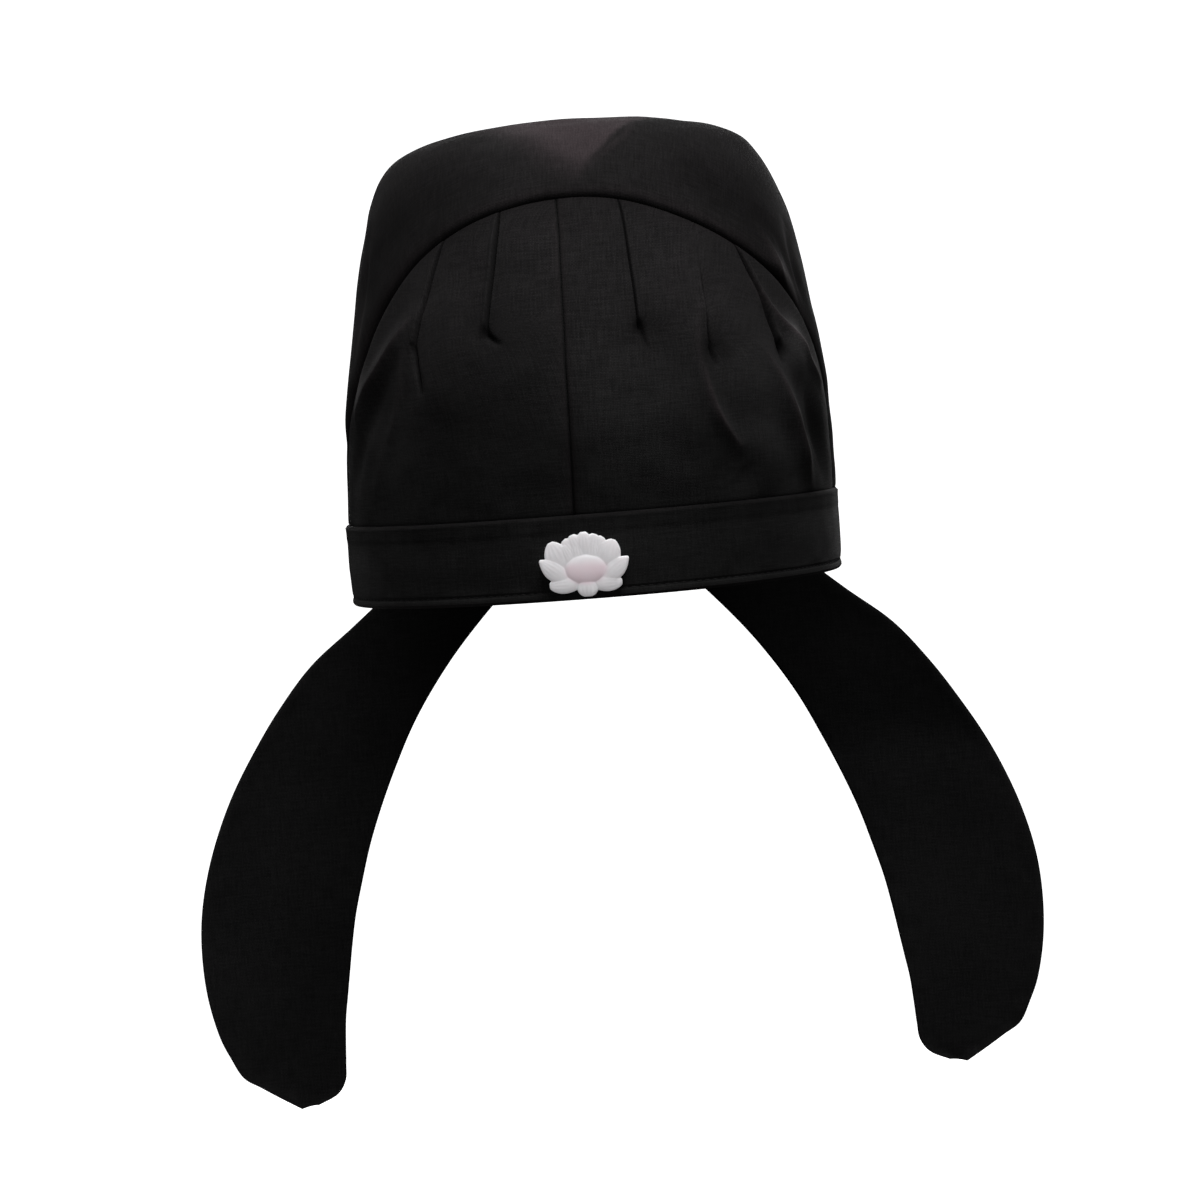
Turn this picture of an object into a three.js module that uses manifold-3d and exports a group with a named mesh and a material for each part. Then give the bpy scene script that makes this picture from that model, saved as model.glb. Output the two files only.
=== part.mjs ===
// A Chinese scholar's soft cap: a folded headband, a front panel of two tucked halves under an
// arched seam, a taller crown behind it, two stiffened leaf-shaped tails and a carved lotus.
// Millimetres, +Z up. The origin is the centre of the rim opening, the wearer faces -Y, and
// left and right are the wearer's, so left is +X.
import * as THREE from 'three';
import { mergeVertices } from 'three/addons/utils/BufferGeometryUtils.js';
import Module from 'manifold-3d';

// ---------------------------------------------------------------- driving dimensions

const BAND_HEIGHT = 27.3;
const BAND_THICKNESS = 3;
const BAND_PROUD = 1;
const BAND_CORNER = 0.8;
const BAND_BOTTOM_TUCK = 0.5;
const BAND_SEGMENTS = 64;

const CLOTH = 1.8;
const TAIL_CLOTH = 2.2;
const GAP = 0.3;
const SEAM_GAP = 0.3;

// The oval of the body at each height: half width, how far its middle leans to the left,
// and where its front and back lie.
const BODY_SECTIONS = [
  { z: BAND_HEIGHT + GAP, halfWidth: 83.5, lean: 1.0, front: -97.0, back: 97.2 },
  { z: 46.0, halfWidth: 82.9, lean: 1.8, front: -99.2, back: 98.0 },
  { z: 66.0, halfWidth: 81.7, lean: 2.3, front: -99.0, back: 97.5 },
  { z: 87.0, halfWidth: 79.3, lean: 2.7, front: -94.0, back: 95.0 },
  { z: 108.0, halfWidth: 76.2, lean: 2.8, front: -83.5, back: 91.0 },
  { z: 122.0, halfWidth: 73.4, lean: 2.8, front: -73.5, back: 86.0 },
  { z: 135.0, halfWidth: 69.6, lean: 2.1, front: -61.0, back: 78.5 },
  { z: 144.5, halfWidth: 65.0, lean: 1.7, front: -49.0, back: 69.5 },
  { z: 151.5, halfWidth: 58.0, lean: 1.9, front: -36.5, back: 58.5 },
  { z: 156.2, halfWidth: 44.8, lean: 1.2, front: -22.0, back: 45.0 },
  { z: 159.3, halfWidth: 27.0, lean: 0.4, front: -6.0, back: 30.0 },
  { z: 160.6, halfWidth: 0.0, lean: 0.0, front: 12.0, back: 12.0 },
];
const OVAL_POWER = 2.15;

// The arched seam between the front panel and the crown: its height by the angle round from the
// front, in degrees towards the left.
const ARCH_SEAM = [
  { angle: -88, z: 39.7 },
  { angle: -75, z: 65.2 },
  { angle: -64, z: 83.7 },
  { angle: -54, z: 99.7 },
  { angle: -40, z: 116.0 },
  { angle: -23, z: 126.7 },
  { angle: -4, z: 131.3 },
  { angle: 14, z: 129.7 },
  { angle: 33, z: 120.3 },
  { angle: 53, z: 104.9 },
  { angle: 67, z: 90.0 },
  { angle: 77, z: 75.2 },
  { angle: 88, z: 53.7 },
];
const EAR_ANGLE = 85;
const PANEL_FOOT = BODY_SECTIONS[0].z;

// Columns of the front panel, from the centre seam to the ear. Each runs from its angle on the
// arch down to its angle on the band, so that the tucks follow columns.
const PANEL_COLUMNS = {
  left: [
    { arch: -2.5, band: -1.8, steps: 3 },
    { arch: 14.0, band: 19.0, steps: 1 },
    { arch: 15.2, band: 20.2, steps: 3 },
    { arch: 31.0, band: 36.0, steps: 1 },
    { arch: 32.2, band: 37.2, steps: 3 },
    { arch: 45.0, band: 59.0, steps: 1 },
    { arch: 46.4, band: 60.2, steps: 9 },
    { arch: EAR_ANGLE, band: EAR_ANGLE },
  ],
  right: [
    { arch: 2.5, band: 1.8, steps: 4 },
    { arch: 17.4, band: 23.0, steps: 1 },
    { arch: 18.6, band: 24.2, steps: 4 },
    { arch: 34.6, band: 46.4, steps: 1 },
    { arch: 35.8, band: 47.6, steps: 11 },
    { arch: EAR_ANGLE, band: EAR_ANGLE },
  ],
};
const PANEL_ROWS = 14;
const PANEL_ROW_CROWDING = 1.25;
const EDGE_GAP_ANGLE = 0.12;

// Stitched tucks, each on a line from the arch seam down to where the stitching ends: the height
// at which it starts to show, how far one side stands over the other, and the dimple at the foot.
const TUCKS = [
  { side: 'right', topAngle: -33.8, footAngle: -40.4, startZ: 150, footZ: 85.0, step: -1.2, pit: 1.2 },
  { side: 'right', topAngle: -18.0, footAngle: -20.6, startZ: 150, footZ: 88.5, step: -1.2, pit: 1.6 },
  { side: 'left', topAngle: 14.2, footAngle: 15.5, startZ: 150, footZ: 87.0, step: 0.5, pit: 1.6 },
  { side: 'left', topAngle: 32.6, footAngle: 31.8, startZ: 108, footZ: 79.0, step: -1.2, pit: 1.4 },
  { side: 'left', topAngle: 44.6, footAngle: 53.3, startZ: 150, footZ: 76.5, step: 1.2, pit: 1.4 },
];
const TUCK_REACH = 9;
const TUCK_START_FADE = 16;
const PIT_RADIUS = 4.2;
const PIT_HEIGHT = 6.5;
const PIT_BELOW_FOOT = 2;

// Soft folds: three points, as degrees round from the front and height, then the half width
// and how far the fold stands out (valleys are negative).
const PANEL_FOLDS = [
  // right half: the shoulder that runs out from the second tuck, and what lies under it
  { a0: -41.0, z0: 94, a1: -51.0, z1: 81, a2: -65.0, z2: 65, width: 5.0, height: 2.7 },
  { a0: -49.0, z0: 82, a1: -53.5, z1: 69, a2: -60.0, z2: 54, width: 5.5, height: -1.2 },
  { a0: -43.8, z0: 84, a1: -44.8, z1: 70, a2: -47.5, z2: 57, width: 3.5, height: 0.7 },
  { a0: -47.0, z0: 60, a1: -51.5, z1: 48, a2: -57.5, z2: 32, width: 4.0, height: 0.6 },
  { a0: -59.0, z0: 64, a1: -63.0, z1: 54, a2: -67.0, z2: 42, width: 5.0, height: -1.0 },
  // left half: the fold from the middle tuck, and the one that falls to the band at the side
  { a0: 30.6, z0: 92, a1: 28.6, z1: 77, a2: 29.2, z2: 64, width: 3.5, height: 1.1 },
  { a0: 29.0, z0: 70, a1: 30.8, z1: 57, a2: 36.5, z2: 45.5, width: 3.5, height: 2.0 },
  { a0: 37.5, z0: 38, a1: 39.0, z1: 34, a2: 40.0, z2: 29, width: 6.0, height: -1.2 },
  { a0: 47.4, z0: 74, a1: 54.8, z1: 52, a2: 61.2, z2: 29, width: 5.0, height: 3.0 },
  { a0: 62.0, z0: 61, a1: 67.0, z1: 49, a2: 71.0, z2: 33, width: 6.5, height: -2.4 },
  { a0: 47.5, z0: 98, a1: 56.4, z1: 82, a2: 74.0, z2: 64, width: 4.0, height: 1.3 },
];
// Fullness let out below the tucks, and where it is held in between them.
const BILLOWS = [
  { angle: -27, z: 78, reach: 20, height: 1.8 },
  { angle: -9, z: 76, reach: 18, height: 1.2 },
  { angle: 8, z: 56, reach: 22, height: 1.6 },
  { angle: 24, z: 56, reach: 22, height: 2.0 },
  { angle: 24, z: 76, reach: 8, height: -0.7 },
  { angle: 44, z: 66, reach: 12, height: 1.6 },
  { angle: 59, z: 73, reach: 9, height: 2.8 },
];

const CROWN_FOLDS = [
  { a0: 73, z0: 116, a1: 71, z1: 102, a2: 72, z2: 84, width: 4.5, height: -1.8 },
  { a0: 54, z0: 114, a1: 58.5, z1: 101, a2: 64.5, z2: 87, width: 4.0, height: 1.8 },
  { a0: 61, z0: 114, a1: 65.5, z1: 100, a2: 70, z2: 87, width: 3.5, height: -0.8 },
  { a0: -71, z0: 120, a1: -69, z1: 106, a2: -68, z2: 88, width: 5.0, height: -1.4 },
  { a0: 31.5, z0: 156.3, a1: 18, z1: 148.8, a2: 7.5, z2: 139.5, width: 4.0, height: 1.1 },
  { a0: -22, z0: 157, a1: -6, z1: 147.5, a2: 1.5, z2: 139, width: 5.0, height: 0.6 },
  { a0: 6, z0: 158, a1: 4, z1: 152, a2: 4, z2: 143, width: 8.0, height: -1.4 },
  { a0: 150, z0: 138, a1: 148, z1: 112, a2: 146, z2: 84, width: 12.0, height: -1.8 },
  { a0: -152, z0: 138, a1: -149, z1: 112, a2: -148, z2: 84, width: 12.0, height: -1.8 },
];
const FOLD_POINTS = 10;
const FOLD_END_FADE = 0.12;

// Seams draw the cloth in, folds grow from nothing at a seam, and the crown rolls out over the
// arch seam.
const SEAM_DEPTH = 1.1;
const SEAM_REACH = 2.2;
const FOLD_START = 4.4;
const ARCH_ROLL = 1.1;
const ARCH_ROLL_NEAR = 3;
const ARCH_ROLL_FAR = 16;

const CROWN_ROWS = 16;
const CROWN_EAR_ANGLE = 108;
const CROWN_ROW_CROWDING = 1.2;

// Tail outline, from the centre back down to the tip: matching points on the outer and inner
// edges.
const TAIL_SECTIONS = [
  { outerX: 0.4, outerZ: 49.0, innerX: 0.4, innerZ: 22.0 },
  { outerX: 20.0, outerZ: 44.0, innerX: 7.5, innerZ: 18.0 },
  { outerX: 38.0, outerZ: 33.0, innerX: 18.0, innerZ: 10.0 },
  { outerX: 56.0, outerZ: 17.5, innerX: 33.0, innerZ: -4.0 },
  { outerX: 73.0, outerZ: 1.5, innerX: 50.0, innerZ: -22.0 },
  { outerX: 89.5, outerZ: -12.5, innerX: 61.5, innerZ: -36.5 },
  { outerX: 106.5, outerZ: -26.0, innerX: 71.0, innerZ: -51.0 },
  { outerX: 119.5, outerZ: -41.0, innerX: 78.7, innerZ: -66.0 },
  { outerX: 130.0, outerZ: -56.0, innerX: 85.0, innerZ: -80.0 },
  { outerX: 139.0, outerZ: -71.0, innerX: 90.4, innerZ: -94.0 },
  { outerX: 145.9, outerZ: -86.0, innerX: 94.5, innerZ: -107.5 },
  { outerX: 151.0, outerZ: -101.0, innerX: 97.8, innerZ: -119.5 },
  { outerX: 154.2, outerZ: -116.0, innerX: 100.0, innerZ: -130.5 },
  { outerX: 155.2, outerZ: -131.0, innerX: 101.7, innerZ: -140.5 },
  { outerX: 154.3, outerZ: -146.0, innerX: 103.2, innerZ: -149.5 },
  { outerX: 151.4, outerZ: -160.0, innerX: 104.6, innerZ: -158.0 },
  { outerX: 147.8, outerZ: -169.0, innerX: 105.4, innerZ: -167.5 },
  { outerX: 143.8, outerZ: -176.6, innerX: 105.9, innerZ: -175.0 },
  { outerX: 137.5, outerZ: -181.0, innerX: 106.6, innerZ: -181.0 },
  { outerX: 130.5, outerZ: -185.7, innerX: 110.0, innerZ: -186.0 },
  { outerX: 123.4, outerZ: -190.2, innerX: 117.0, innerZ: -189.2 },
];
const TAIL_COLUMNS = 4;
const TAIL_STEPS_PER_SECTION = 2;
const TAIL_BACK = 98.35;
const TAIL_SWEEP = 0.00055;
const TAIL_HOLLOW = 2.2;
const TAIL_HOLLOW_FULL_AT = 0.625;
// Both tails hang a little to the right of the middle below their roots.
const TAIL_SWAY = -3.4;
const TAIL_SWAY_FROM = 40;
const TAIL_SWAY_TO = { left: -80, right: -14 };

// Lotus ornament.
const LOTUS_HEIGHT_ON_BAND = 11.4;
const LOTUS_SHIFT = 1.0;
const LOTUS_PLATE = 1.6;
const LOTUS_PLATE_Z = 1.0;
const LOTUS_PLATE_WIDTH = 21;
const LOTUS_PLATE_HEIGHT = 15.8;
const LOTUS_PLATE_SIDES = 20;
const LOTUS_BOWL = { z: -1.6, halfWidth: 7.2, halfHeight: 5.1, depth: 2.5 };
const BOWL_SIDES = 20;
const BOWL_RINGS = 4;
const BOWL_ROUND = 0.25;
const PETAL_RINGS = 6;
const PETAL_SIDES = 4;
const PETAL_END = 0.02;
const PETAL_FULLEST = 1.15;
// Petals in layers from the back: where each starts, the way it points (degrees from upright,
// clockwise in the front view), its length and width, how much it is crowned, how far its edge
// stands off the plate and how pointed it is.
const PETALS = [
  { x: 0.0, z: 0.0, turn: -39.0, length: 10.7, width: 5.8, thick: 0.6, lift: 0.9, point: 0.5 },
  { x: 0.0, z: 0.0, turn: -22.4, length: 10.6, width: 5.8, thick: 0.6, lift: 1.0, point: 0.5 },
  { x: 0.0, z: 0.0, turn: -0.6, length: 10.6, width: 5.8, thick: 0.6, lift: 1.1, point: 0.5 },
  { x: 0.0, z: 0.0, turn: 20.7, length: 10.3, width: 5.8, thick: 0.6, lift: 1.0, point: 0.5 },
  { x: 0.0, z: 0.0, turn: 36.0, length: 10.5, width: 5.8, thick: 0.6, lift: 0.9, point: 0.5 },
  { x: -6.6, z: -3.0, turn: -22.0, length: 11.8, width: 7.8, thick: 0.6, lift: 1.1, point: 0.62 },
  { x: 5.2, z: -3.2, turn: 21.5, length: 11.5, width: 7.8, thick: 0.7, lift: 1.1, point: 0.62 },
  { x: -4.4, z: -6.5, turn: -50.0, length: 13.8, width: 6.2, thick: 0.7, lift: 1.3, point: 0.9 },
  { x: 3.5, z: -7.0, turn: 50.7, length: 13.6, width: 6.2, thick: 0.7, lift: 1.3, point: 0.9 },
  { x: -1.2, z: -6.0, turn: -91.0, length: 11.1, width: 5.7, thick: 0.7, lift: 1.2, point: 0.5 },
  { x: 0.5, z: -6.2, turn: 91.5, length: 11.0, width: 5.6, thick: 0.7, lift: 1.2, point: 0.5 },
  { x: 0.1, z: -4.0, turn: 180.0, length: 6.5, width: 6.8, thick: 0.8, lift: 1.3, point: 0.4 },
  { x: -3.4, z: -1.0, turn: -24.0, length: 8.2, width: 4.6, thick: 0.3, lift: 1.35, point: 0.6 },
  { x: 3.4, z: -1.0, turn: 24.0, length: 8.2, width: 4.6, thick: 0.3, lift: 1.35, point: 0.6 },
  { x: -1.5, z: -1.0, turn: -8.0, length: 8.3, width: 4.8, thick: 0.3, lift: 1.4, point: 0.6 },
  { x: 1.5, z: -1.0, turn: 8.0, length: 8.3, width: 4.8, thick: 0.3, lift: 1.4, point: 0.6 },
];

// ---------------------------------------------------------------- small helpers

const radians = THREE.MathUtils.degToRad;
const mix = THREE.MathUtils.lerp;

// Catmull-Rom through four neighbouring rows of a table, column by column.
function blendRows([before, from, to, after], share) {
  const row = {};
  for (const key of Object.keys(from)) {
    const [a, b, c, d] = [before[key], from[key], to[key], after[key]];
    row[key] = 0.5 * (2 * b + (c - a) * share + (2 * a - 5 * b + 4 * c - d) * share ** 2
      + (3 * b - a - 3 * c + d) * share ** 3);
  }
  return row;
}

function rowBefore(first, second) {
  return Object.fromEntries(Object.keys(first).map((key) => [key, 2 * first[key] - second[key]]));
}

// A table read at t from 0 (first row) to 1 (last row).
function readTable(rows, after, t) {
  const whole = [rowBefore(rows[0], rows[1]), ...rows, after];
  const place = THREE.MathUtils.clamp(t, 0, 1) * (rows.length - 1);
  const start = Math.min(Math.floor(place), rows.length - 2);
  return blendRows(whole.slice(start, start + 4), place - start);
}

// How far down a table one of its rising columns reaches a value.
function shareWhere(rows, after, key, value) {
  let [low, high] = [0, 1];
  while (high - low > 1e-7) {
    const middle = (low + high) / 2;
    if (readTable(rows, after, middle)[key] < value) low = middle;
    else high = middle;
  }
  return (low + high) / 2;
}

// A closed wall between an outer and an inner skin, given at shares across and along.
function wallSolid(across, along, skinsAt) {
  const layers = { outer: [], inner: [] };
  for (const v of along) {
    for (const u of across) {
      const { outer, inner } = skinsAt(u, v);
      layers.outer.push(...outer.toArray());
      layers.inner.push(...inner.toArray());
    }
  }
  const width = across.length;
  const height = along.length;
  const at = (column, row, layer) => (layer * height + row) * width + column;
  const faces = [];
  const quad = (a, b, c, d) => faces.push(a, b, c, a, c, d);
  for (let row = 0; row < height - 1; row += 1) {
    for (let column = 0; column < width - 1; column += 1) {
      const [right, up] = [column + 1, row + 1];
      quad(at(column, row, 0), at(right, row, 0), at(right, up, 0), at(column, up, 0));
      quad(at(column, up, 1), at(right, up, 1), at(right, row, 1), at(column, row, 1));
    }
  }
  const [lastColumn, lastRow] = [width - 1, height - 1];
  for (let column = 0; column < lastColumn; column += 1) {
    const right = column + 1;
    quad(at(column, 0, 1), at(right, 0, 1), at(right, 0, 0), at(column, 0, 0));
    quad(at(column, lastRow, 0), at(right, lastRow, 0), at(right, lastRow, 1), at(column, lastRow, 1));
  }
  for (let row = 0; row < lastRow; row += 1) {
    const up = row + 1;
    quad(at(0, row, 0), at(0, up, 0), at(0, up, 1), at(0, row, 1));
    quad(at(lastColumn, row, 1), at(lastColumn, up, 1), at(lastColumn, up, 0), at(lastColumn, row, 0));
  }
  return meshGeometry([...layers.outer, ...layers.inner], faces);
}

function meshGeometry(positions, faces) {
  const geometry = new THREE.BufferGeometry();
  geometry.setAttribute('position', new THREE.Float32BufferAttribute(positions, 3));
  geometry.setIndex(faces);
  geometry.computeVertexNormals();
  return geometry;
}

const evenShares = (count) => Array.from({ length: count + 1 }, (_, i) => i / count);

// ---------------------------------------------------------------- the body's base surface

const PAST_THE_TOP = (() => {
  const row = BODY_SECTIONS.at(-2);
  return { ...row, halfWidth: -row.halfWidth, front: row.back, back: row.front };
})();

const bodySection = (t) => readTable(BODY_SECTIONS, PAST_THE_TOP, t);
const shareAtHeight = (z) => shareWhere(BODY_SECTIONS, PAST_THE_TOP, 'z', z);

function ovalPoint({ z, halfWidth, lean, front, back }, angle) {
  const [side, ahead] = [Math.sin(radians(angle)), Math.cos(radians(angle))];
  const reach = (Math.abs(side) ** OVAL_POWER + Math.abs(ahead) ** OVAL_POWER) ** (-1 / OVAL_POWER);
  const middle = (front + back) / 2;
  const halfDepth = (back - front) / 2;
  return new THREE.Vector3(lean + halfWidth * side * reach, middle - halfDepth * ahead * reach, z);
}

// The body seen from above as a disc of radius 1: its rim is the band, its middle the top.
const discPoint = (angle, t) => new THREE.Vector2(
  (1 - t) * Math.sin(radians(angle)),
  -(1 - t) * Math.cos(radians(angle)),
);

function bodyPoint(disc) {
  const angle = THREE.MathUtils.radToDeg(Math.atan2(disc.x, -disc.y));
  return ovalPoint(bodySection(1 - disc.length()), angle);
}

function bodyNormal(disc) {
  const step = 1e-3;
  const slope = (x, y) => {
    const shift = new THREE.Vector2(x, y).multiplyScalar(step);
    const inside = disc.clone().multiplyScalar(1 - 2 * step);
    return bodyPoint(inside.clone().add(shift)).sub(bodyPoint(inside.clone().sub(shift)));
  };
  return slope(1, 0).cross(slope(0, 1)).normalize();
}

const archHeight = (angle) => {
  const past = rowBefore(ARCH_SEAM.at(-1), ARCH_SEAM.at(-2));
  return readTable(ARCH_SEAM, past, shareWhere(ARCH_SEAM, past, 'angle', angle)).z;
};

// How far above or below the arch a cut edge lies, so that its distance to the arch is even.
function archGap(angle) {
  const run = radians(1) * Math.hypot(BODY_SECTIONS[0].halfWidth, BODY_SECTIONS[0].front) / Math.SQRT2;
  const slope = (archHeight(angle + 0.5) - archHeight(angle - 0.5)) / run;
  return SEAM_GAP * Math.hypot(1, slope);
}

// ---------------------------------------------------------------- folds, tucks and seams

// A fold as a chain of points on the body.
function foldPath({ a0, z0, a1, z1, a2, z2 }) {
  const angles = new THREE.QuadraticBezierCurve(
    new THREE.Vector2(a0, z0),
    new THREE.Vector2(2 * a1 - (a0 + a2) / 2, 2 * z1 - (z0 + z2) / 2),
    new THREE.Vector2(a2, z2),
  );
  return angles.getPoints(FOLD_POINTS).map(({ x, y }) => bodyPoint(discPoint(x, shareAtHeight(y))));
}

const withPath = (fold) => ({ ...fold, path: foldPath(fold) });
const panelFolds = PANEL_FOLDS.map(withPath);
const crownFolds = CROWN_FOLDS.map(withPath);

function nearestOnPath(point, path) {
  let best = { distance: Infinity, share: 0 };
  path.slice(1).forEach((end, i) => {
    const segment = new THREE.Line3(path[i], end);
    const along = segment.closestPointToPointParameter(point, true);
    const distance = segment.at(along, new THREE.Vector3()).distanceTo(point);
    if (distance < best.distance) best = { distance, share: (i + along) / (path.length - 1) };
  });
  return best;
}

function foldLift(point, folds) {
  let lift = 0;
  for (const { path, width, height } of folds) {
    const { distance, share } = nearestOnPath(point, path);
    const fade = Math.sin(Math.PI * mix(FOLD_END_FADE, 1 - FOLD_END_FADE, share));
    lift += height * fade * Math.exp(-((distance / width) ** 2));
  }
  return lift;
}

// One side of a tuck stands over the other down to its foot, where the cloth dips.
function tuckLift(point, angle, tucks) {
  let lift = 0;
  for (const { topAngle, footAngle, startZ, footZ, step, pit } of tucks) {
    const topZ = archHeight(topAngle);
    const down = (topZ - point.z) / (topZ - footZ);
    const radius = Math.hypot(point.x, point.y);
    const beside = radians(angle - mix(topAngle, footAngle, Math.min(down, 1))) * radius;
    const below = Math.max(footZ - point.z, 0);
    const begun = Math.min(Math.max((startZ - point.z) / TUCK_START_FADE, 0), 1);
    const fade = begun * Math.exp(-((below / TUCK_REACH) ** 2));
    lift += 0.5 * step * Math.tanh(beside) * Math.exp(-Math.abs(beside) / TUCK_REACH) * fade;
    const above = point.z - footZ + PIT_BELOW_FOOT;
    lift -= pit * Math.exp(-((beside / PIT_RADIUS) ** 2) - (above / PIT_HEIGHT) ** 2);
  }
  return lift;
}

const billows = BILLOWS.map((billow) => ({
  ...billow,
  centre: bodyPoint(discPoint(billow.angle, shareAtHeight(billow.z))),
}));

function billowLift(point) {
  let lift = 0;
  for (const { centre, reach, height } of billows) {
    lift += height * Math.exp(-((point.distanceTo(centre) / reach) ** 2));
  }
  return lift;
}

const seamDip = (distance) => -SEAM_DEPTH * Math.exp(-distance / SEAM_REACH);

// ---------------------------------------------------------------- pieces

// Headband: a rounded strip swept round the oval, proud of the cloth above it.
function headband() {
  const inner = BAND_PROUD - BAND_THICKNESS;
  const profile = [
    { out: BAND_PROUD - BAND_BOTTOM_TUCK, z: BAND_CORNER },
    { out: BAND_PROUD, z: BAND_HEIGHT / 2 },
    { out: BAND_PROUD, z: BAND_HEIGHT - BAND_CORNER },
    { out: BAND_PROUD - BAND_CORNER, z: BAND_HEIGHT },
    { out: inner + BAND_CORNER, z: BAND_HEIGHT },
    { out: inner, z: BAND_HEIGHT - BAND_CORNER },
    { out: inner, z: BAND_CORNER },
    { out: inner + BAND_CORNER, z: 0 },
    { out: BAND_PROUD - BAND_BOTTOM_TUCK - BAND_CORNER, z: 0 },
  ];
  const rim = BODY_SECTIONS[0];
  const positions = [];
  for (let i = 0; i < BAND_SEGMENTS; i += 1) {
    for (const { out, z } of profile) {
      const [halfWidth, front, back] = [rim.halfWidth + out, rim.front - out, rim.back + out];
      const angle = (i * 360) / BAND_SEGMENTS;
      positions.push(...ovalPoint({ ...rim, z, halfWidth, front, back }, angle).toArray());
    }
  }
  const count = profile.length;
  const faces = [];
  for (let i = 0; i < BAND_SEGMENTS; i += 1) {
    const next = (i + 1) % BAND_SEGMENTS;
    for (let j = 0; j < count; j += 1) {
      const up = (j + 1) % count;
      faces.push(i * count + j, next * count + j, next * count + up);
      faces.push(i * count + j, next * count + up, i * count + up);
    }
  }
  return meshGeometry(positions, faces);
}

// The columns of one half of the front panel, with signed angles, from right to left.
function panelColumns(side) {
  const sign = side === 'left' ? 1 : -1;
  const stations = PANEL_COLUMNS[side];
  const columns = [];
  stations.slice(0, -1).forEach((station, i) => {
    const next = stations[i + 1];
    for (const share of evenShares(station.steps).slice(0, -1)) {
      const arch = sign * mix(station.arch, next.arch, share);
      columns.push({ arch, band: sign * mix(station.band, next.band, share) });
    }
  });
  columns.push({ arch: sign * EAR_ANGLE, band: sign * EAR_ANGLE });
  return sign > 0 ? columns : columns.reverse();
}

// Half of the front panel. Columns run from the band up to the arch seam.
function frontPanel(side) {
  const sign = side === 'left' ? 1 : -1;
  const centre = PANEL_COLUMNS[side][0];
  const columns = panelColumns(side);
  const tucks = TUCKS.filter((tuck) => tuck.side === side);
  const skins = (column, v) => {
    const { arch, band } = column;
    const highest = archHeight(arch) - archGap(arch);
    let angle = mix(band, arch, v);
    if (arch === sign * centre.arch) angle += sign * EDGE_GAP_ANGLE;
    if (arch === sign * EAR_ANGLE) angle -= sign * EDGE_GAP_ANGLE;
    const z = mix(PANEL_FOOT, highest, 1 - (1 - v) ** PANEL_ROW_CROWDING);
    const disc = discPoint(angle, shareAtHeight(z));
    const point = bodyPoint(disc);
    const fromArch = highest - z;
    const seam = ovalPoint(bodySection(shareAtHeight(z)), sign * mix(centre.band, centre.arch, v));
    let lift = foldLift(point, panelFolds) + tuckLift(point, angle, tucks) + billowLift(point);
    lift *= 1 - Math.exp(-fromArch / FOLD_START);
    lift *= 1 - Math.exp(-(z - PANEL_FOOT) / FOLD_START);
    lift += seamDip(Math.min(fromArch, point.distanceTo(seam)));
    const normal = bodyNormal(disc);
    return {
      outer: point.clone().addScaledVector(normal, lift),
      inner: point.clone().addScaledVector(normal, lift - CLOTH),
    };
  };
  return wallSolid(columns, evenShares(PANEL_ROWS), skins);
}

// The crown's front edge, from the right ear up over the arch seam and down to the left ear.
function crownEdge() {
  const columns = [...panelColumns('right'), ...panelColumns('left')];
  const arch = columns.map((column) => {
    const edgeGap = Math.abs(column.arch) === EAR_ANGLE ? EDGE_GAP_ANGLE : 0;
    const angle = column.arch + Math.sign(column.arch) * edgeGap;
    return discPoint(angle, shareAtHeight(archHeight(column.arch) + archGap(column.arch)));
  });
  const foot = (sign) => discPoint(sign * (EAR_ANGLE + EDGE_GAP_ANGLE), 0);
  const side = (sign, top) => [foot(sign), foot(sign).lerp(top, 0.5)];
  return [...side(-1, arch[0]), ...arch, ...side(1, arch.at(-1)).reverse()];
}

// The crown, a hood laid out from its front edge, over the top, to the band at the back.
function crown() {
  const edge = crownEdge();
  const last = edge.length - 1;
  const earFront = EAR_ANGLE + EDGE_GAP_ANGLE;
  const rimPoint = (angle) => discPoint(angle, 0);
  const skins = (column, v) => {
    const u = column / last;
    const w = v ** CROWN_ROW_CROWDING;
    const back = rimPoint(180 - (180 - CROWN_EAR_ANGLE) * (2 * u - 1));
    const earAngle = mix(earFront, CROWN_EAR_ANGLE, w);
    const chord = (sign) => rimPoint(sign * earFront).lerp(rimPoint(sign * CROWN_EAR_ANGLE), w);
    const disc = edge[column].clone().lerp(back, w)
      .addScaledVector(rimPoint(-earAngle).sub(chord(-1)), 1 - u)
      .addScaledVector(rimPoint(earAngle).sub(chord(1)), u);
    const point = bodyPoint(disc);
    const fromSeam = point.distanceTo(bodyPoint(edge[column]));
    const roll = (1 - Math.exp(-fromSeam / ARCH_ROLL_NEAR)) * Math.exp(-((fromSeam / ARCH_ROLL_FAR) ** 2));
    const lift = ARCH_ROLL * roll + seamDip(fromSeam) + foldLift(point, crownFolds);
    const normal = bodyNormal(disc);
    return {
      outer: point.clone().addScaledVector(normal, lift),
      inner: point.clone().addScaledVector(normal, lift - CLOTH),
    };
  };
  return wallSolid(edge.map((_, i) => i), evenShares(CROWN_ROWS), skins);
}

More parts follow.
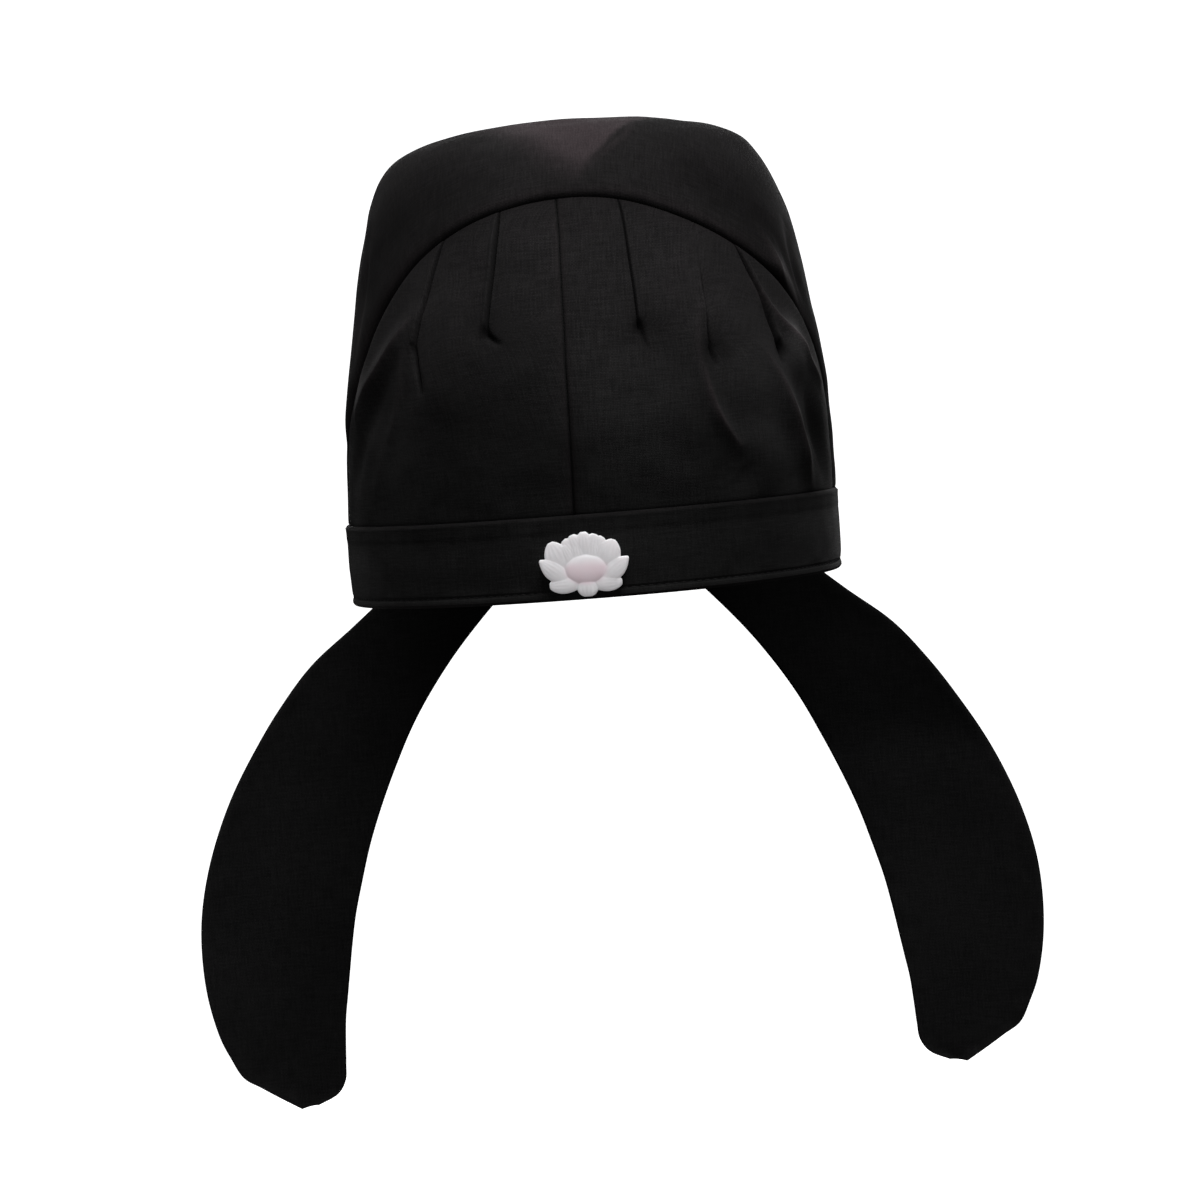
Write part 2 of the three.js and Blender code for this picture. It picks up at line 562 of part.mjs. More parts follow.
// A tail: a slightly hollow leaf between its two edges, swept forward towards its outer edge.
function tail(sign) {
  const steps = (TAIL_SECTIONS.length - 1) * TAIL_STEPS_PER_SECTION;
  const last = TAIL_SECTIONS.at(-1);
  const swayTo = sign > 0 ? TAIL_SWAY_TO.left : TAIL_SWAY_TO.right;
  const skins = (u, v) => {
    const row = readTable(TAIL_SECTIONS, last, v);
    const x = mix(row.innerX, row.outerX, u);
    const z = mix(row.innerZ, row.outerZ, u);
    const depth = TAIL_HOLLOW * Math.sin((Math.PI / 2) * Math.min(v / TAIL_HOLLOW_FULL_AT, 1));
    const hollow = depth * 4 * u * (1 - u);
    const y = TAIL_BACK - TAIL_SWEEP * x ** 2 + hollow;
    const sway = TAIL_SWAY * (1 - THREE.MathUtils.smoothstep(z, swayTo, TAIL_SWAY_FROM));
    return {
      outer: new THREE.Vector3(sign * x + sway, y + TAIL_CLOTH, z),
      inner: new THREE.Vector3(sign * x + sway, y, z),
    };
  };
  const across = evenShares(TAIL_COLUMNS);
  return wallSolid(sign > 0 ? across : across.reverse(), evenShares(steps), skins);
}

// One petal: a crowned leaf along +Z, carved up from the back plate's plane.
function petal({ length, width, thick, lift, point }) {
  const section = [[1, 0, 0]];
  for (const share of evenShares(PETAL_SIDES)) {
    section.push([Math.cos(Math.PI * share), 1, Math.sin(Math.PI * share)]);
  }
  section.push([-1, 0, 0]);
  const positions = [];
  for (const share of evenShares(PETAL_RINGS)) {
    const along = mix(PETAL_END, 1 - PETAL_END, share);
    const breadth = Math.sin(Math.PI * along ** PETAL_FULLEST) ** point;
    for (const [side, raised, crown] of section) {
      positions.push((width / 2) * breadth * side, -lift * raised - thick * breadth * crown, length * along);
    }
  }
  const count = section.length;
  const faces = [];
  for (let i = 0; i < count; i += 1) {
    const next = (i + 1) % count;
    for (let ring = 0; ring < PETAL_RINGS; ring += 1) {
      const [low, high] = [ring * count, (ring + 1) * count];
      faces.push(low + next, low + i, high + i, low + next, high + i, high + next);
    }
  }
  const end = PETAL_RINGS * count;
  for (let i = 1; i < count - 1; i += 1) {
    faces.push(0, i, i + 1, end, end + i + 1, end + i);
  }
  return meshGeometry(positions, faces);
}

const wasm = await Module();
wasm.setup();

function solid(geometry) {
  const bare = new THREE.BufferGeometry();
  bare.setAttribute('position', geometry.getAttribute('position').clone());
  bare.setIndex(geometry.getIndex());
  const merged = mergeVertices(bare);
  return new wasm.Manifold(new wasm.Mesh({
    numProp: 3,
    vertProperties: new Float32Array(merged.getAttribute('position').array),
    triVerts: new Uint32Array(merged.getIndex().array),
  }));
}

// The bowl at the lotus's centre: a flat-backed oval boss with a rounded edge.
function bowl() {
  const { z, halfWidth, halfHeight, depth } = LOTUS_BOWL;
  const positions = [0, -depth, z];
  for (let ring = 1; ring <= BOWL_RINGS; ring += 1) {
    const share = Math.sin((Math.PI * ring) / (2 * BOWL_RINGS));
    const rise = depth * (1 - share ** 2) ** BOWL_ROUND;
    for (let i = 0; i < BOWL_SIDES; i += 1) {
      const around = (2 * Math.PI * i) / BOWL_SIDES;
      positions.push(halfWidth * share * Math.cos(around), -rise, z + halfHeight * share * Math.sin(around));
    }
  }
  const faces = [];
  const last = 1 + (BOWL_RINGS - 1) * BOWL_SIDES;
  for (let i = 0; i < BOWL_SIDES; i += 1) {
    const next = (i + 1) % BOWL_SIDES;
    faces.push(0, 1 + i, 1 + next);
    for (let ring = 1; ring < BOWL_RINGS; ring += 1) {
      const [near, far] = [1 + (ring - 1) * BOWL_SIDES, 1 + ring * BOWL_SIDES];
      faces.push(near + i, far + i, far + next, near + i, far + next, near + next);
    }
    if (i > 0 && next > 0) faces.push(last, last + next, last + i);
  }
  return meshGeometry(positions, faces);
}

// Lotus: petals in layers round the bowl, joined on an oval back plate.
function lotus() {
  const plate = new THREE.CylinderGeometry(0.5, 0.5, LOTUS_PLATE, LOTUS_PLATE_SIDES);
  plate.deleteAttribute('normal');
  plate.deleteAttribute('uv');
  plate.scale(LOTUS_PLATE_WIDTH, 1, LOTUS_PLATE_HEIGHT);
  plate.translate(0, -LOTUS_PLATE / 2, LOTUS_PLATE_Z);
  let flower = solid(mergeVertices(plate)).add(solid(bowl()));
  for (const row of PETALS) {
    const leaf = petal(row);
    leaf.rotateY(radians(row.turn));
    leaf.translate(row.x, 0, row.z);
    flower = flower.add(solid(leaf));
  }
  const { vertProperties, triVerts } = flower.getMesh();
  return meshGeometry(vertProperties, Array.from(triVerts));
}

// ---------------------------------------------------------------- the hat

const blackCloth = { color: 0x131214, roughness: 0.86, metalness: 0 };
const tailCloth = { color: 0x0d0c0e, roughness: 0.9, metalness: 0 };
const jade = { color: 0xc9bfc4, roughness: 0.35, metalness: 0 };

const hat = new THREE.Group();
hat.name = 'chinese_scholar_hat';

function addPiece(name, geometry, look) {
  const mesh = new THREE.Mesh(geometry, new THREE.MeshStandardMaterial(look));
  mesh.name = name;
  hat.add(mesh);
  return mesh;
}

addPiece('headband', headband(), blackCloth);
addPiece('front_panel_left', frontPanel('left'), blackCloth);
addPiece('front_panel_right', frontPanel('right'), blackCloth);
addPiece('crown', crown(), blackCloth);
addPiece('tail_left', tail(1), tailCloth);
addPiece('tail_right', tail(-1), tailCloth);
const rimFront = BODY_SECTIONS[0].front - BAND_PROUD;
addPiece('lotus_ornament', lotus(), jade).position.set(LOTUS_SHIFT, rimFront - GAP, LOTUS_HEIGHT_ON_BAND);

export default hat;
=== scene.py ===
# A Chinese scholar's soft cap, dressed in Blender round the imported CAD frame: black cloth with its
# tucks, folds, seams and stitches, two stiffened tails and a carved lotus.
# Lengths are millimetres, as in the part's source, and meshes are made in metres. The camera, the floor
# and the lights are given in metres.
import math
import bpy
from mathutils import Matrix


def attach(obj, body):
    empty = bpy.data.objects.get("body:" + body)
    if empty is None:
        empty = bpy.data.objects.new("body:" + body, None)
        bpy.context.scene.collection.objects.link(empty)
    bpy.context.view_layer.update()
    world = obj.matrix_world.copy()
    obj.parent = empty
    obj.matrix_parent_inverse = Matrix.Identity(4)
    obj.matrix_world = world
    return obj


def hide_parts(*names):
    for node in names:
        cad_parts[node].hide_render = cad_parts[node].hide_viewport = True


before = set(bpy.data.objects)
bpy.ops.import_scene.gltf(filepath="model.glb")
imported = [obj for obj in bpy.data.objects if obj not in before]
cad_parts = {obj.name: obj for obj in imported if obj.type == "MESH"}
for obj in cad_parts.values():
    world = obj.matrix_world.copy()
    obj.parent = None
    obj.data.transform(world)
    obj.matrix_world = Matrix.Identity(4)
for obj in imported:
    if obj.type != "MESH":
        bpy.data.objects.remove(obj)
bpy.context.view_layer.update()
from types import SimpleNamespace

import bpy
import numpy as np
from mathutils import Matrix, Vector

MM = 0.001

# -------- small helpers

FINE_SHARES = np.linspace(0, 1, 40001)
SPACING_STEPS = 4000


def columns(names, *rows):
    """A table as one array for each named column."""
    return dict(zip(names.split(), np.array(rows, float).T))


def each_row(table):
    return [SimpleNamespace(**dict(zip(table, row))) for row in zip(*table.values())]


def mix(a, b, share):
    return a + (b - a) * share


def smooth(low, high, value):
    share = np.clip((value - low) / (high - low), 0, 1)
    return share * share * (3 - 2 * share)


def bump(distance, reach):
    return np.exp(-((distance / reach) ** 2))


def stacked(*parts):
    """Coordinates of any matching shapes as one array of points."""
    return np.stack(np.broadcast_arrays(*parts), -1)


def read_table(table, after, t):
    """Catmull-Rom through a table's rows, at t from 0 (the first) to 1 (the last)."""
    count = len(next(iter(table.values())))
    place = np.clip(t, 0, 1) * (count - 1)
    start = np.minimum(place.astype(int), count - 2)
    s = place - start
    row = {}
    for name, column in table.items():
        whole = np.concatenate([[2 * column[0] - column[1]], column, [after[name]]])
        a, b, c, d = (whole[start + i] for i in range(4))
        row[name] = 0.5 * (
            2 * b + (c - a) * s + (2 * a - 5 * b + 4 * c - d) * s**2 + (3 * b - a - 3 * c + d) * s**3
        )
    return row


def share_where(table, after, name, value):
    """How far down a table one of its rising columns reaches each value."""
    return np.interp(value, read_table(table, after, FINE_SHARES)[name], FINE_SHARES)


def spaced(length, spacing, crowds):
    """Places from 0 to length that crowd at some places: the spacing there, the spacing away from
    them, and the distances where it starts and stops growing."""
    near, far, start, stop = spacing
    fine = np.linspace(0, length, SPACING_STEPS + 1)
    middle = (fine[1:] + fine[:-1]) / 2
    off = np.abs(middle[:, None] - np.asarray(crowds)).min(1)
    steps = np.concatenate([[0], np.cumsum(np.diff(fine) / mix(near, far, smooth(start, stop, off)))])
    return np.interp(np.linspace(0, steps[-1], math.ceil(steps[-1]) + 1), steps, fine)


def run_lengths(points, axis):
    """Distance along a grid of points from its first row or column."""
    steps = np.linalg.norm(np.diff(points, axis=axis), axis=-1)
    start = np.zeros_like(np.take(steps, [0], axis=axis))
    return np.concatenate([start, np.cumsum(steps, axis=axis)], axis=axis)


def soft_noise(points, wavelength, seed, waves=28):
    """Smooth unevenness from -1 to 1 or so: plane waves of about one length, in fixed directions."""
    draw = np.random.default_rng(seed)
    way = draw.normal(size=(waves, 3))
    way /= np.linalg.norm(way, axis=1, keepdims=True)
    length = wavelength * draw.uniform(0.7, 1.6, waves)
    phase = draw.uniform(0, 2 * math.pi, waves)
    turns = points @ (way * (2 * math.pi / length)[:, None]).T + phase
    return np.sin(turns).sum(-1) / math.sqrt(waves)


def turns_of(count):
    """Evenly spaced angles round a circle, in radians."""
    return np.arange(count) * 2 * math.pi / count


def grid_quads(rows, cols, wrap=False, close=False):
    """Corner numbers of a grid's quads. Its columns can wrap, and its last row can meet its first."""
    row, col = np.meshgrid(
        np.arange(rows if close else rows - 1), np.arange(cols if wrap else cols - 1), indexing="ij"
    )
    below, right = (row + 1) % rows, (col + 1) % cols
    corners = [row * cols + col, row * cols + right, below * cols + right, below * cols + col]
    return np.stack([c.ravel() for c in corners], 1)


def fan(centre, rings):
    """Points and faces of rings round a centre."""
    rows, cols = rings.shape[:2]
    points = np.concatenate([[centre], rings.reshape(-1, 3)])
    after = np.roll(np.arange(cols), -1)
    faces = [(0, 1 + a, 1 + b) for a, b in enumerate(after)]
    return points, faces + (grid_quads(rows, cols, wrap=True)[:, ::-1] + 1).tolist()


def link_object(name, data):
    thing = bpy.data.objects.new(name, data)
    bpy.context.scene.collection.objects.link(thing)
    return thing


# -------- materials


class Nodes:
    """A short way of writing a material: each call adds a node and links its inputs."""

    def __init__(self, name):
        self.material = bpy.data.materials.new(name)
        self.material.use_nodes = True
        self.tree = self.material.node_tree

    def fill(self, node, inputs):
        for key, value in inputs.items():
            if isinstance(value, bpy.types.NodeSocket):
                self.tree.links.new(value, node.inputs[key])
            else:
                node.inputs[key].default_value = value

    def surface(self, inputs):
        self.fill(self.tree.nodes["Principled BSDF"], inputs)
        return self.material

    def add(self, kind, inputs, out=0, **settings):
        node = self.tree.nodes.new(kind)
        for key, value in settings.items():
            setattr(node, key, value)
        self.fill(node, inputs)
        return node.outputs[out]

    def math(self, operation, a, b=0.0):
        return self.add("ShaderNodeMath", {0: a, 1: b}, operation=operation)

    def times(self, a, b):
        return self.math("MULTIPLY", a, b)

    def attribute(self, name, out="Fac"):
        return self.add("ShaderNodeAttribute", {}, out, attribute_name=name)

    def place(self):
        return self.add("ShaderNodeTexCoord", {}, "Object")

    def along(self, vector, axis):
        return self.add("ShaderNodeSeparateXYZ", {0: vector}, axis)

    def noise(self, vector, scale, detail):
        inputs = {"Vector": vector, "Scale": scale, "Detail": detail}
        return self.add("ShaderNodeTexNoise", inputs, "Fac")

    def blend(self, share, a, b, mode="MIX"):
        """Two colours mixed: the node takes them at its sockets 6 and 7."""
        inputs = {0: share, 6: a, 7: b}
        return self.add("ShaderNodeMix", inputs, 2, data_type="RGBA", blend_type=mode)

    def span(self, value, low, high, to_low=0, to_high=1):
        inputs = {"Value": value, "From Min": low, "From Max": high, "To Min": to_low, "To Max": to_high}
        return self.add("ShaderNodeMapRange", inputs)

    def bumps(self, strength, depth, height):
        inputs = {"Strength": strength, "Distance": depth * MM, "Height": height}
        return self.add("ShaderNodeBump", inputs)


THREAD = 0.55
YARN_WIDTH = 1.3 * THREAD
SLUB_LENGTH = 9.0
WEAVE_DEPTH = 0.05
# The cloth is tinted a little warm higher up, above the brow.
WARM_FROM = 40
WARM_TO = 95
WARM_TINT = (1.03, 0.95, 0.98, 1)


def cloth_material(name, dark, light, worn_and_highlight, sheen):
    """Plain-woven cloth: threads over and under, uneven yarns, soft patches, worn places and painted
    highlights in a lighter colour, and painted light and shade.
    """
    n = Nodes(name)
    cloth = n.attribute("cloth", "Vector")
    x, y = n.along(cloth, "X"), n.along(cloth, "Y")
    over, under = (n.math("SINE", n.times(way, math.pi / (THREAD * MM))) for way in (x, y))
    cell = n.times(over, under)
    weave = n.math("POWER", n.math("ABSOLUTE", cell), 0.6)

    def yarns(across, along):
        inputs = {"X": n.times(across, 1 / (YARN_WIDTH * MM)), "Y": n.times(along, 1 / (SLUB_LENGTH * MM))}
        return n.noise(n.add("ShaderNodeCombineXYZ", inputs), 1.0, 1.0)

    inputs = {0: n.span(cell, -0.15, 0.15), 2: yarns(y, x), 3: yarns(x, y)}
    yarn = n.add("ShaderNodeMix", inputs, data_type="FLOAT")
    place = n.place()
    patches = n.noise(place, 26.0, 3.0)
    lint = n.noise(place, 1500.0, 2.0)
    fibres = n.math("ADD", lint, yarn)
    tone = n.span(n.math("ADD", patches, n.times(yarn, 0.55)), 0.62, 0.96)
    colour = n.blend(tone, dark, light)
    warm_share = n.span(n.along(place, "Z"), WARM_FROM * MM, WARM_TO * MM)
    colour = n.blend(warm_share, colour, WARM_TINT, "MULTIPLY")
    # Worn places and painted highlights take the lighter colour.
    wear_and_highlight = n.times(n.attribute("wear_and_highlight"), n.span(patches, 0.35, 0.65, 0.55))
    colour = n.blend(wear_and_highlight, colour, worn_and_highlight)
    # Painted light and shade, in doublings, scales the base colour, the specular and the sheen.
    painted_light_gain = n.math("POWER", 2.0, n.attribute("painted_light"))
    # Painted shade in the weave's valleys, and uneven fibres.
    shade = n.times(n.span(weave, 0, 1, 0.6, 1.08), n.span(fibres, 0.7, 1.3, 0.72, 1.28))
    shade = n.times(shade, painted_light_gain)
    grey = n.add("ShaderNodeCombineColor", {0: shade, 1: shade, 2: shade})
    return n.surface({
        "Base Color": n.blend(1.0, colour, grey, "MULTIPLY"),
        "Roughness": n.span(yarn, 0.3, 0.7, 0.94, 0.82),
        "Specular IOR Level": n.times(painted_light_gain, 0.05),
        "Sheen Weight": n.times(painted_light_gain, sheen),
        "Sheen Roughness": 0.5,
        "Sheen Tint": (0.6, 0.58, 0.59, 1),
        "Normal": n.bumps(0.55, WEAVE_DEPTH, n.math("ADD", weave, n.times(fibres, 0.5))),
    })


def thread_material():
    """Twisted thread, a little shinier than the cloth."""
    n = Nodes("black_thread")
    twist = n.noise(n.place(), 2600.0, 1.0)
    return n.surface({
        "Base Color": n.blend(twist, (0.002, 0.002, 0.002, 1), (0.006, 0.0055, 0.006, 1)),
        "Roughness": n.span(twist, 0.3, 0.7, 0.75, 0.6),
        "Specular IOR Level": 0.12,
        "Normal": n.bumps(0.5, 0.04, twist),
    })


def resin_material():
    """Cast resin like pale stone: cool white petals round a pinker bowl, with painted shade in the carving
    and a painted glow in its own colour.
    """
    n = Nodes("carved_resin")
    place = n.place()
    cloud = n.noise(place, 260.0, 3.0)
    pink = n.times(n.attribute("bowl"), n.span(cloud, 0.3, 0.7, 0.75))
    white = n.blend(cloud, (0.37, 0.36, 0.37, 1), (0.43, 0.42, 0.43, 1))
    colour = n.blend(pink, white, (0.41, 0.34, 0.365, 1))
    # Painted shade in the carving's hollows.
    hollow = n.span(n.attribute("hollow"), 0, 1, 0, 0.3)
    colour = n.blend(hollow, colour, (0.24, 0.21, 0.22, 1))
    return n.surface({
        "Base Color": colour,
        "Roughness": n.span(cloud, 0.3, 0.7, 0.42, 0.55),
        "Specular IOR Level": 0.35,
        # A painted glow: the resin gives out light in its own colour, which flattens its shading.
        "Emission Color": colour,
        "Emission Strength": 0.45,
        "Subsurface Weight": 0.8,
        "Subsurface Radius": (1.0, 0.85, 0.85),
        "Subsurface Scale": 5.0 * MM,
        "Normal": n.bumps(0.3, 0.03, n.noise(place, 1800.0, 2.0)),
    })


def floor_material():
    return Nodes("pale_floor").surface({
        "Base Color": (0.9, 0.9, 0.9, 1),
        "Roughness": 0.9,
        "Specular IOR Level": 0.1,
        "Emission Color": (1, 1, 1, 1),
        "Emission Strength": 0.9,
    })


# -------- camera, floor and light

# The camera stands a little to the wearer's left, level with the cloth, looking slightly down,
# and rolled so that the cap leans to the left in the picture.
CAMERA_AT = (0.0490, -1.3948, 0.0657)
CAMERA_TURNS = ((1.96, "Z"), (90 - 2.92, "X"), (-4.50, "Z"))
CAMERA_VIEW_ANGLE = 16.855

FLOOR_Z = -0.46
FLOOR_FLAT_RADIUS = 1.9
FLOOR_WALL_RADIUS = 2.9
FLOOR_WALL_TOP = 2.6
FLOOR_SIDES = 96
FLOOR_CURVE_STEPS = 20

SKY_STRENGTH = 0.09
SOFTBOXES = [
    # name, place, size, watts, what it points at
    ("key_softbox", (0.30, -0.66, 1.55), (0.9, 0.7), 52, (0, -0.02, 0.05)),
    ("front_softbox", (-0.2, -1.9, 0.4), (1.0, 0.9), 8, (0, 0, 0.0)),
    ("side_softbox_left", (1.5, 0.3, 0.4), (0.35, 0.9), 0.4, (0, 0, 0.04)),
    ("side_softbox_right", (-1.5, 0.3, 0.4), (0.35, 0.9), 0.6, (0, 0, 0.04)),
    ("back_softbox", (0.1, 1.7, 0.35), (1.2, 0.8), 14, (0, 0, 0.0)),
]


def add_camera():
    camera = link_object("camera", bpy.data.cameras.new("camera"))
    camera.data.lens_unit = "FOV"
    camera.data.angle = math.radians(CAMERA_VIEW_ANGLE)
    yaw, pitch, roll = (Matrix.Rotation(math.radians(turn), 4, axis) for turn, axis in CAMERA_TURNS)
    camera.matrix_world = Matrix.Translation(CAMERA_AT) @ yaw @ pitch @ roll
    bpy.context.scene.camera = camera


def add_softbox(name, place, size, watts, target):
    light = bpy.data.lights.new(name, "AREA")
    light.shape = "RECTANGLE"
    light.size, light.size_y = size
    light.energy = watts
    lamp = link_object(name, light)
    lamp.location = place
    lamp.rotation_euler = (Vector(target) - Vector(place)).to_track_quat("-Z", "Y").to_euler()
    lamp.visible_camera = False


def add_floor():
    """A round pale floor that curves up into a wall, so that every view has the same ground."""
    bend = FLOOR_WALL_RADIUS - FLOOR_FLAT_RADIUS
    turn = np.linspace(0, math.pi / 2, FLOOR_CURVE_STEPS + 1)
    radius = np.append(FLOOR_FLAT_RADIUS + bend * np.sin(turn), FLOOR_WALL_RADIUS)[:, None]
    height = np.append(bend * (1 - np.cos(turn)), FLOOR_WALL_TOP)[:, None]
    around = turns_of(FLOOR_SIDES)
    rings = stacked(radius * np.cos(around), radius * np.sin(around), FLOOR_Z + height)
    points, faces = fan((0, 0, FLOOR_Z), rings)
    mesh = bpy.data.meshes.new("floor")
    mesh.from_pydata(points.tolist(), [], faces)
    mesh.shade_smooth()
    mesh.materials.append(floor_material())
    floor = link_object("floor", mesh)
    # The pale floor is only a ground to stand before: it throws no light back onto black cloth.
    floor.visible_diffuse = False
    floor.visible_glossy = False


def add_sky():
    world = bpy.data.worlds.new("studio")
    world.use_nodes = True
    background = world.node_tree.nodes["Background"]
    background.inputs["Color"].default_value = (1, 1, 1, 1)
    background.inputs["Strength"].default_value = SKY_STRENGTH
    bpy.context.scene.world = world


add_camera()
add_floor()
add_sky()
for softbox in SOFTBOXES:
    add_softbox(*softbox)
bpy.context.scene.view_settings.view_transform = "Standard"

# -------- sizes of the body

BAND_HEIGHT = 27.3
BAND_THICKNESS = 3
BAND_PROUD = 1
BAND_CORNER = 0.8
BAND_BOTTOM_TUCK = 0.5
CLOTH = 1.8
# Sewn cloth nearly meets the band at its foot, and its neighbour along a seam.
FOOT_GAP = 0.04
SEAM_GAP = 0.05

# The oval of the body at each height.
BODY = columns(
    "z half_width lean front back",
    (BAND_HEIGHT + FOOT_GAP, 83.5, 1, -97, 97.2),
    (46, 82.9, 1.8, -99.2, 98),
    (66, 81.7, 2.3, -99, 97.5),
    (87, 79.3, 2.7, -94, 95),
    (108, 76.2, 2.8, -83.5, 91),
    (122, 73.4, 2.8, -73.5, 86),
    (135, 69.6, 2.1, -61, 78.5),
    (144.5, 65, 1.7, -49, 69.5),
    (151.5, 58, 1.9, -36.5, 58.5),
    (156.2, 44.8, 1.2, -22, 45),
    (159.3, 27, 0.4, -6, 30),
    (160.6, 0, 0, 12, 12),
)
OVAL_POWER = 2.15
PANEL_FOOT = BODY["z"][0]

# The arched seam: its height by the angle round from the front, towards the wearer's left.
ARCH = columns(
    "angle z",
    (-88, 39.7), (-75, 65.2), (-64, 83.7), (-54, 99.7), (-40, 116), (-23, 126.7), (-4, 131.3),
    (14, 129.7), (33, 120.3), (53, 104.9), (67, 90), (77, 75.2), (88, 53.7),
)
EAR_ANGLE = 85
SEAM_GAP_ANGLE = np.degrees(SEAM_GAP / BODY["half_width"][0])
CENTRE_SEAM = {"arch": -2.5, "band": -1.8}

# Stitched tucks: the angle on the arch, the angle and height of the foot, the height where the
# tuck starts to show, how far one side stands over the other, the rounded edge of that side, the
# groove beside it and the dimple at the foot.
TUCKS = columns(
    "top_angle foot_angle foot_z start_z step lip groove pit",
    (-33.8, -40.4, 85, 150, -1.2, 0.3, 2.2, 0.2),
    (-18, -20.6, 88.5, 150, -1.2, 0.6, 2.4, 0.8),
    (14.2, 15.5, 87, 150, 0.5, 0, 1.4, 1.2),
    (32.6, 31.8, 79, 108, -1.2, 0.6, 2, 0.5),
    (44.6, 53.3, 76.5, 150, 1.2, 0.3, 1.7, 1),
)
TUCK_REACH = 9
TUCK_END_REACH = 1.5
TUCK_EDGE = 0.35
TUCK_OPEN_EDGE = 1.6
TUCK_GROOVE_SIDE = 0.35
TUCK_GROOVE_REACH = 0.32
TUCK_LIP_SIDE = 0.9
TUCK_LIP_REACH = 0.7
TUCK_START_FADE = 16
PIT_RADIUS = 4.2
PIT_HEIGHT = 6.5
PIT_BELOW_FOOT = 2
PIN_RADIUS = 0.8
PIN_HEIGHT = 1.5
# The painted shade in a dimple at each tuck's foot: its reach, how far below the foot it lies, and how
# dark it is.
DIMPLE_RADIUS = 2.2
DIMPLE_BELOW_FOOT = 0.5
DIMPLE_PAINTED_SHADE = 0.9

# Soft folds: three points as angle and height, the half width, how far the fold stands out, and
# how far a sharper crest stands out on top of it.
FOLD_COLUMNS = "a0 z0 a1 z1 a2 z2 width height crest"
PANEL_FOLDS = columns(
    FOLD_COLUMNS,
    # right half: the shoulder that runs out from the second tuck, and what lies under it
    (-41, 94, -51, 81, -65, 65, 5, 2.4, 0.7),
    (-49, 82, -53.5, 69, -60, 54, 5.5, -1.2, 0),
    (-43.8, 84, -44.8, 70, -47.5, 57, 2.6, 0.7, 0.25),
    (-47, 60, -51.5, 48, -57.5, 32, 4, 0.6, 0.05),
    (-59, 64, -63, 54, -67, 42, 5, -1, 0),
    # left half: the fold from the middle tuck, and the one that falls to the band at the side
    (30.6, 92, 28.6, 77, 29.2, 64, 2.6, 1, 0.3),
    (29, 70, 30.8, 57, 36.5, 45.5, 3.2, 1.4, 1.3),
    (37.5, 38, 39, 34, 40, 29, 6, -1.2, 0),
    (47.4, 74, 54.8, 52, 61.2, 29, 5, 2.6, 1),
    (62, 61, 67, 49, 71, 33, 6.5, -2.4, 0),
    (47.5, 98, 56.4, 82, 74, 64, 3, 1.1, 0.9),
)
# Short creases at the feet of the tucks.
CREASES = columns(
    FOLD_COLUMNS,
    (-40.5, 85.5, -39.3, 79.5, -37.4, 70, 0.8, -2.4, 0),
    (-20.8, 88.5, -19.5, 86, -17, 83.4, 0.9, -1.8, 0),
    (15.4, 87, 16, 83, 16.6, 79, 0.8, -1, 0),
    (32.2, 88, 32, 80, 32.8, 72, 0.9, -2, 0),
    (53.2, 78, 53.6, 75, 53.4, 71, 1, -2, 0),
)
CROWN_FOLDS = columns(
    FOLD_COLUMNS,
    (73, 116, 71, 102, 72, 84, 4.5, -1.8, 0),
    (54, 114, 58.5, 101, 64.5, 87, 3.5, 1.4, 1),
    (61, 114, 65.5, 100, 70, 87, 2.4, -0.8, 0),
    (-71, 120, -69, 106, -68, 88, 5, -1.4, 0),
    (31.5, 156.3, 18, 148.8, 7.5, 139.5, 3, 0.7, 0.8),
    (-22, 157, -6, 147.5, 1.5, 139, 5, 0.6, 0),
    (6, 158, 4, 152, 4, 143, 8, -1.4, 0),
    (150, 138, 148, 112, 146, 84, 12, -1.8, 0),
    (-152, 138, -149, 112, -148, 84, 12, -1.8, 0),
)
FOLD_POINTS = 16
FOLD_END_FADE = 0.12
CREST_REACH = 1.6
CREST_ROUND = 0.35
# Painted shade darkens the creases and grooves, and the crests of the folds are lighter in the worn
# colour: part wear, part painted highlight.
CREASE_PAINTED_SHADE = 0.45
GROOVE_PAINTED_SHADE = 1.3
CREST_WEAR_AND_HIGHLIGHT = 0.45
CREST_WEAR_AND_HIGHLIGHT_REACH = 1.3

# Round spots: the middle as angle and height, the reach and the amount. First the fullness let
# out below the tucks.
SPOT_COLUMNS = "angle z reach amount"
BILLOWS = columns(
    SPOT_COLUMNS,
    (-27, 78, 20, 1.8),
    (-9, 76, 18, 1.2),
    (8, 56, 22, 1.6),
    (24, 56, 22, 2),
    (24, 76, 8, -0.7),
    (44, 66, 12, 1.6),
    (59, 73, 9, 2.8),
)
# Painted light and shade: where the cloth is painted lighter or darker, in doublings.
PAINTED_LIGHT_SPOTS = columns(
    SPOT_COLUMNS,
    # crown
    (-46, 132, 24, -0.9),
    (-62, 110, 16, -0.6),
    (0, 138, 24, -0.35),
    (38, 134, 17, -0.9),
    (56, 118, 14, -0.9),
    (72, 98, 8, -0.9),
    (59, 103.8, 4.5, 1),
    (62, 101, 4.5, 0.8),
    (65.5, 95, 4.5, 0.8),
    (82, 95, 8, -0.7),
    (-19, 154, 13, 0.45),
    # the front panel above its tucks' feet
    (-66, 98, 8, 0.4),
    (-54, 84, 9, 0.4),
    (-65, 73, 8, 1.5),
    (18, 84, 10, -0.5),
    (34, 77, 5, -0.8),
    (60, 79, 8, 1.6),
    (66, 74, 6, 0.8),
    # and below them
    (-30, 56, 30, -0.25),
    (-52, 70, 9, -0.5),
    (-48, 53, 12, 0.35),
    (-66, 33, 9, 0.7),
    (26, 70, 10, -0.5),
    (16, 46, 22, 0.25),
    (45, 53, 13, 0.5),
    (44, 29, 9, -0.9),
    (68, 46, 16, -1.2),
)
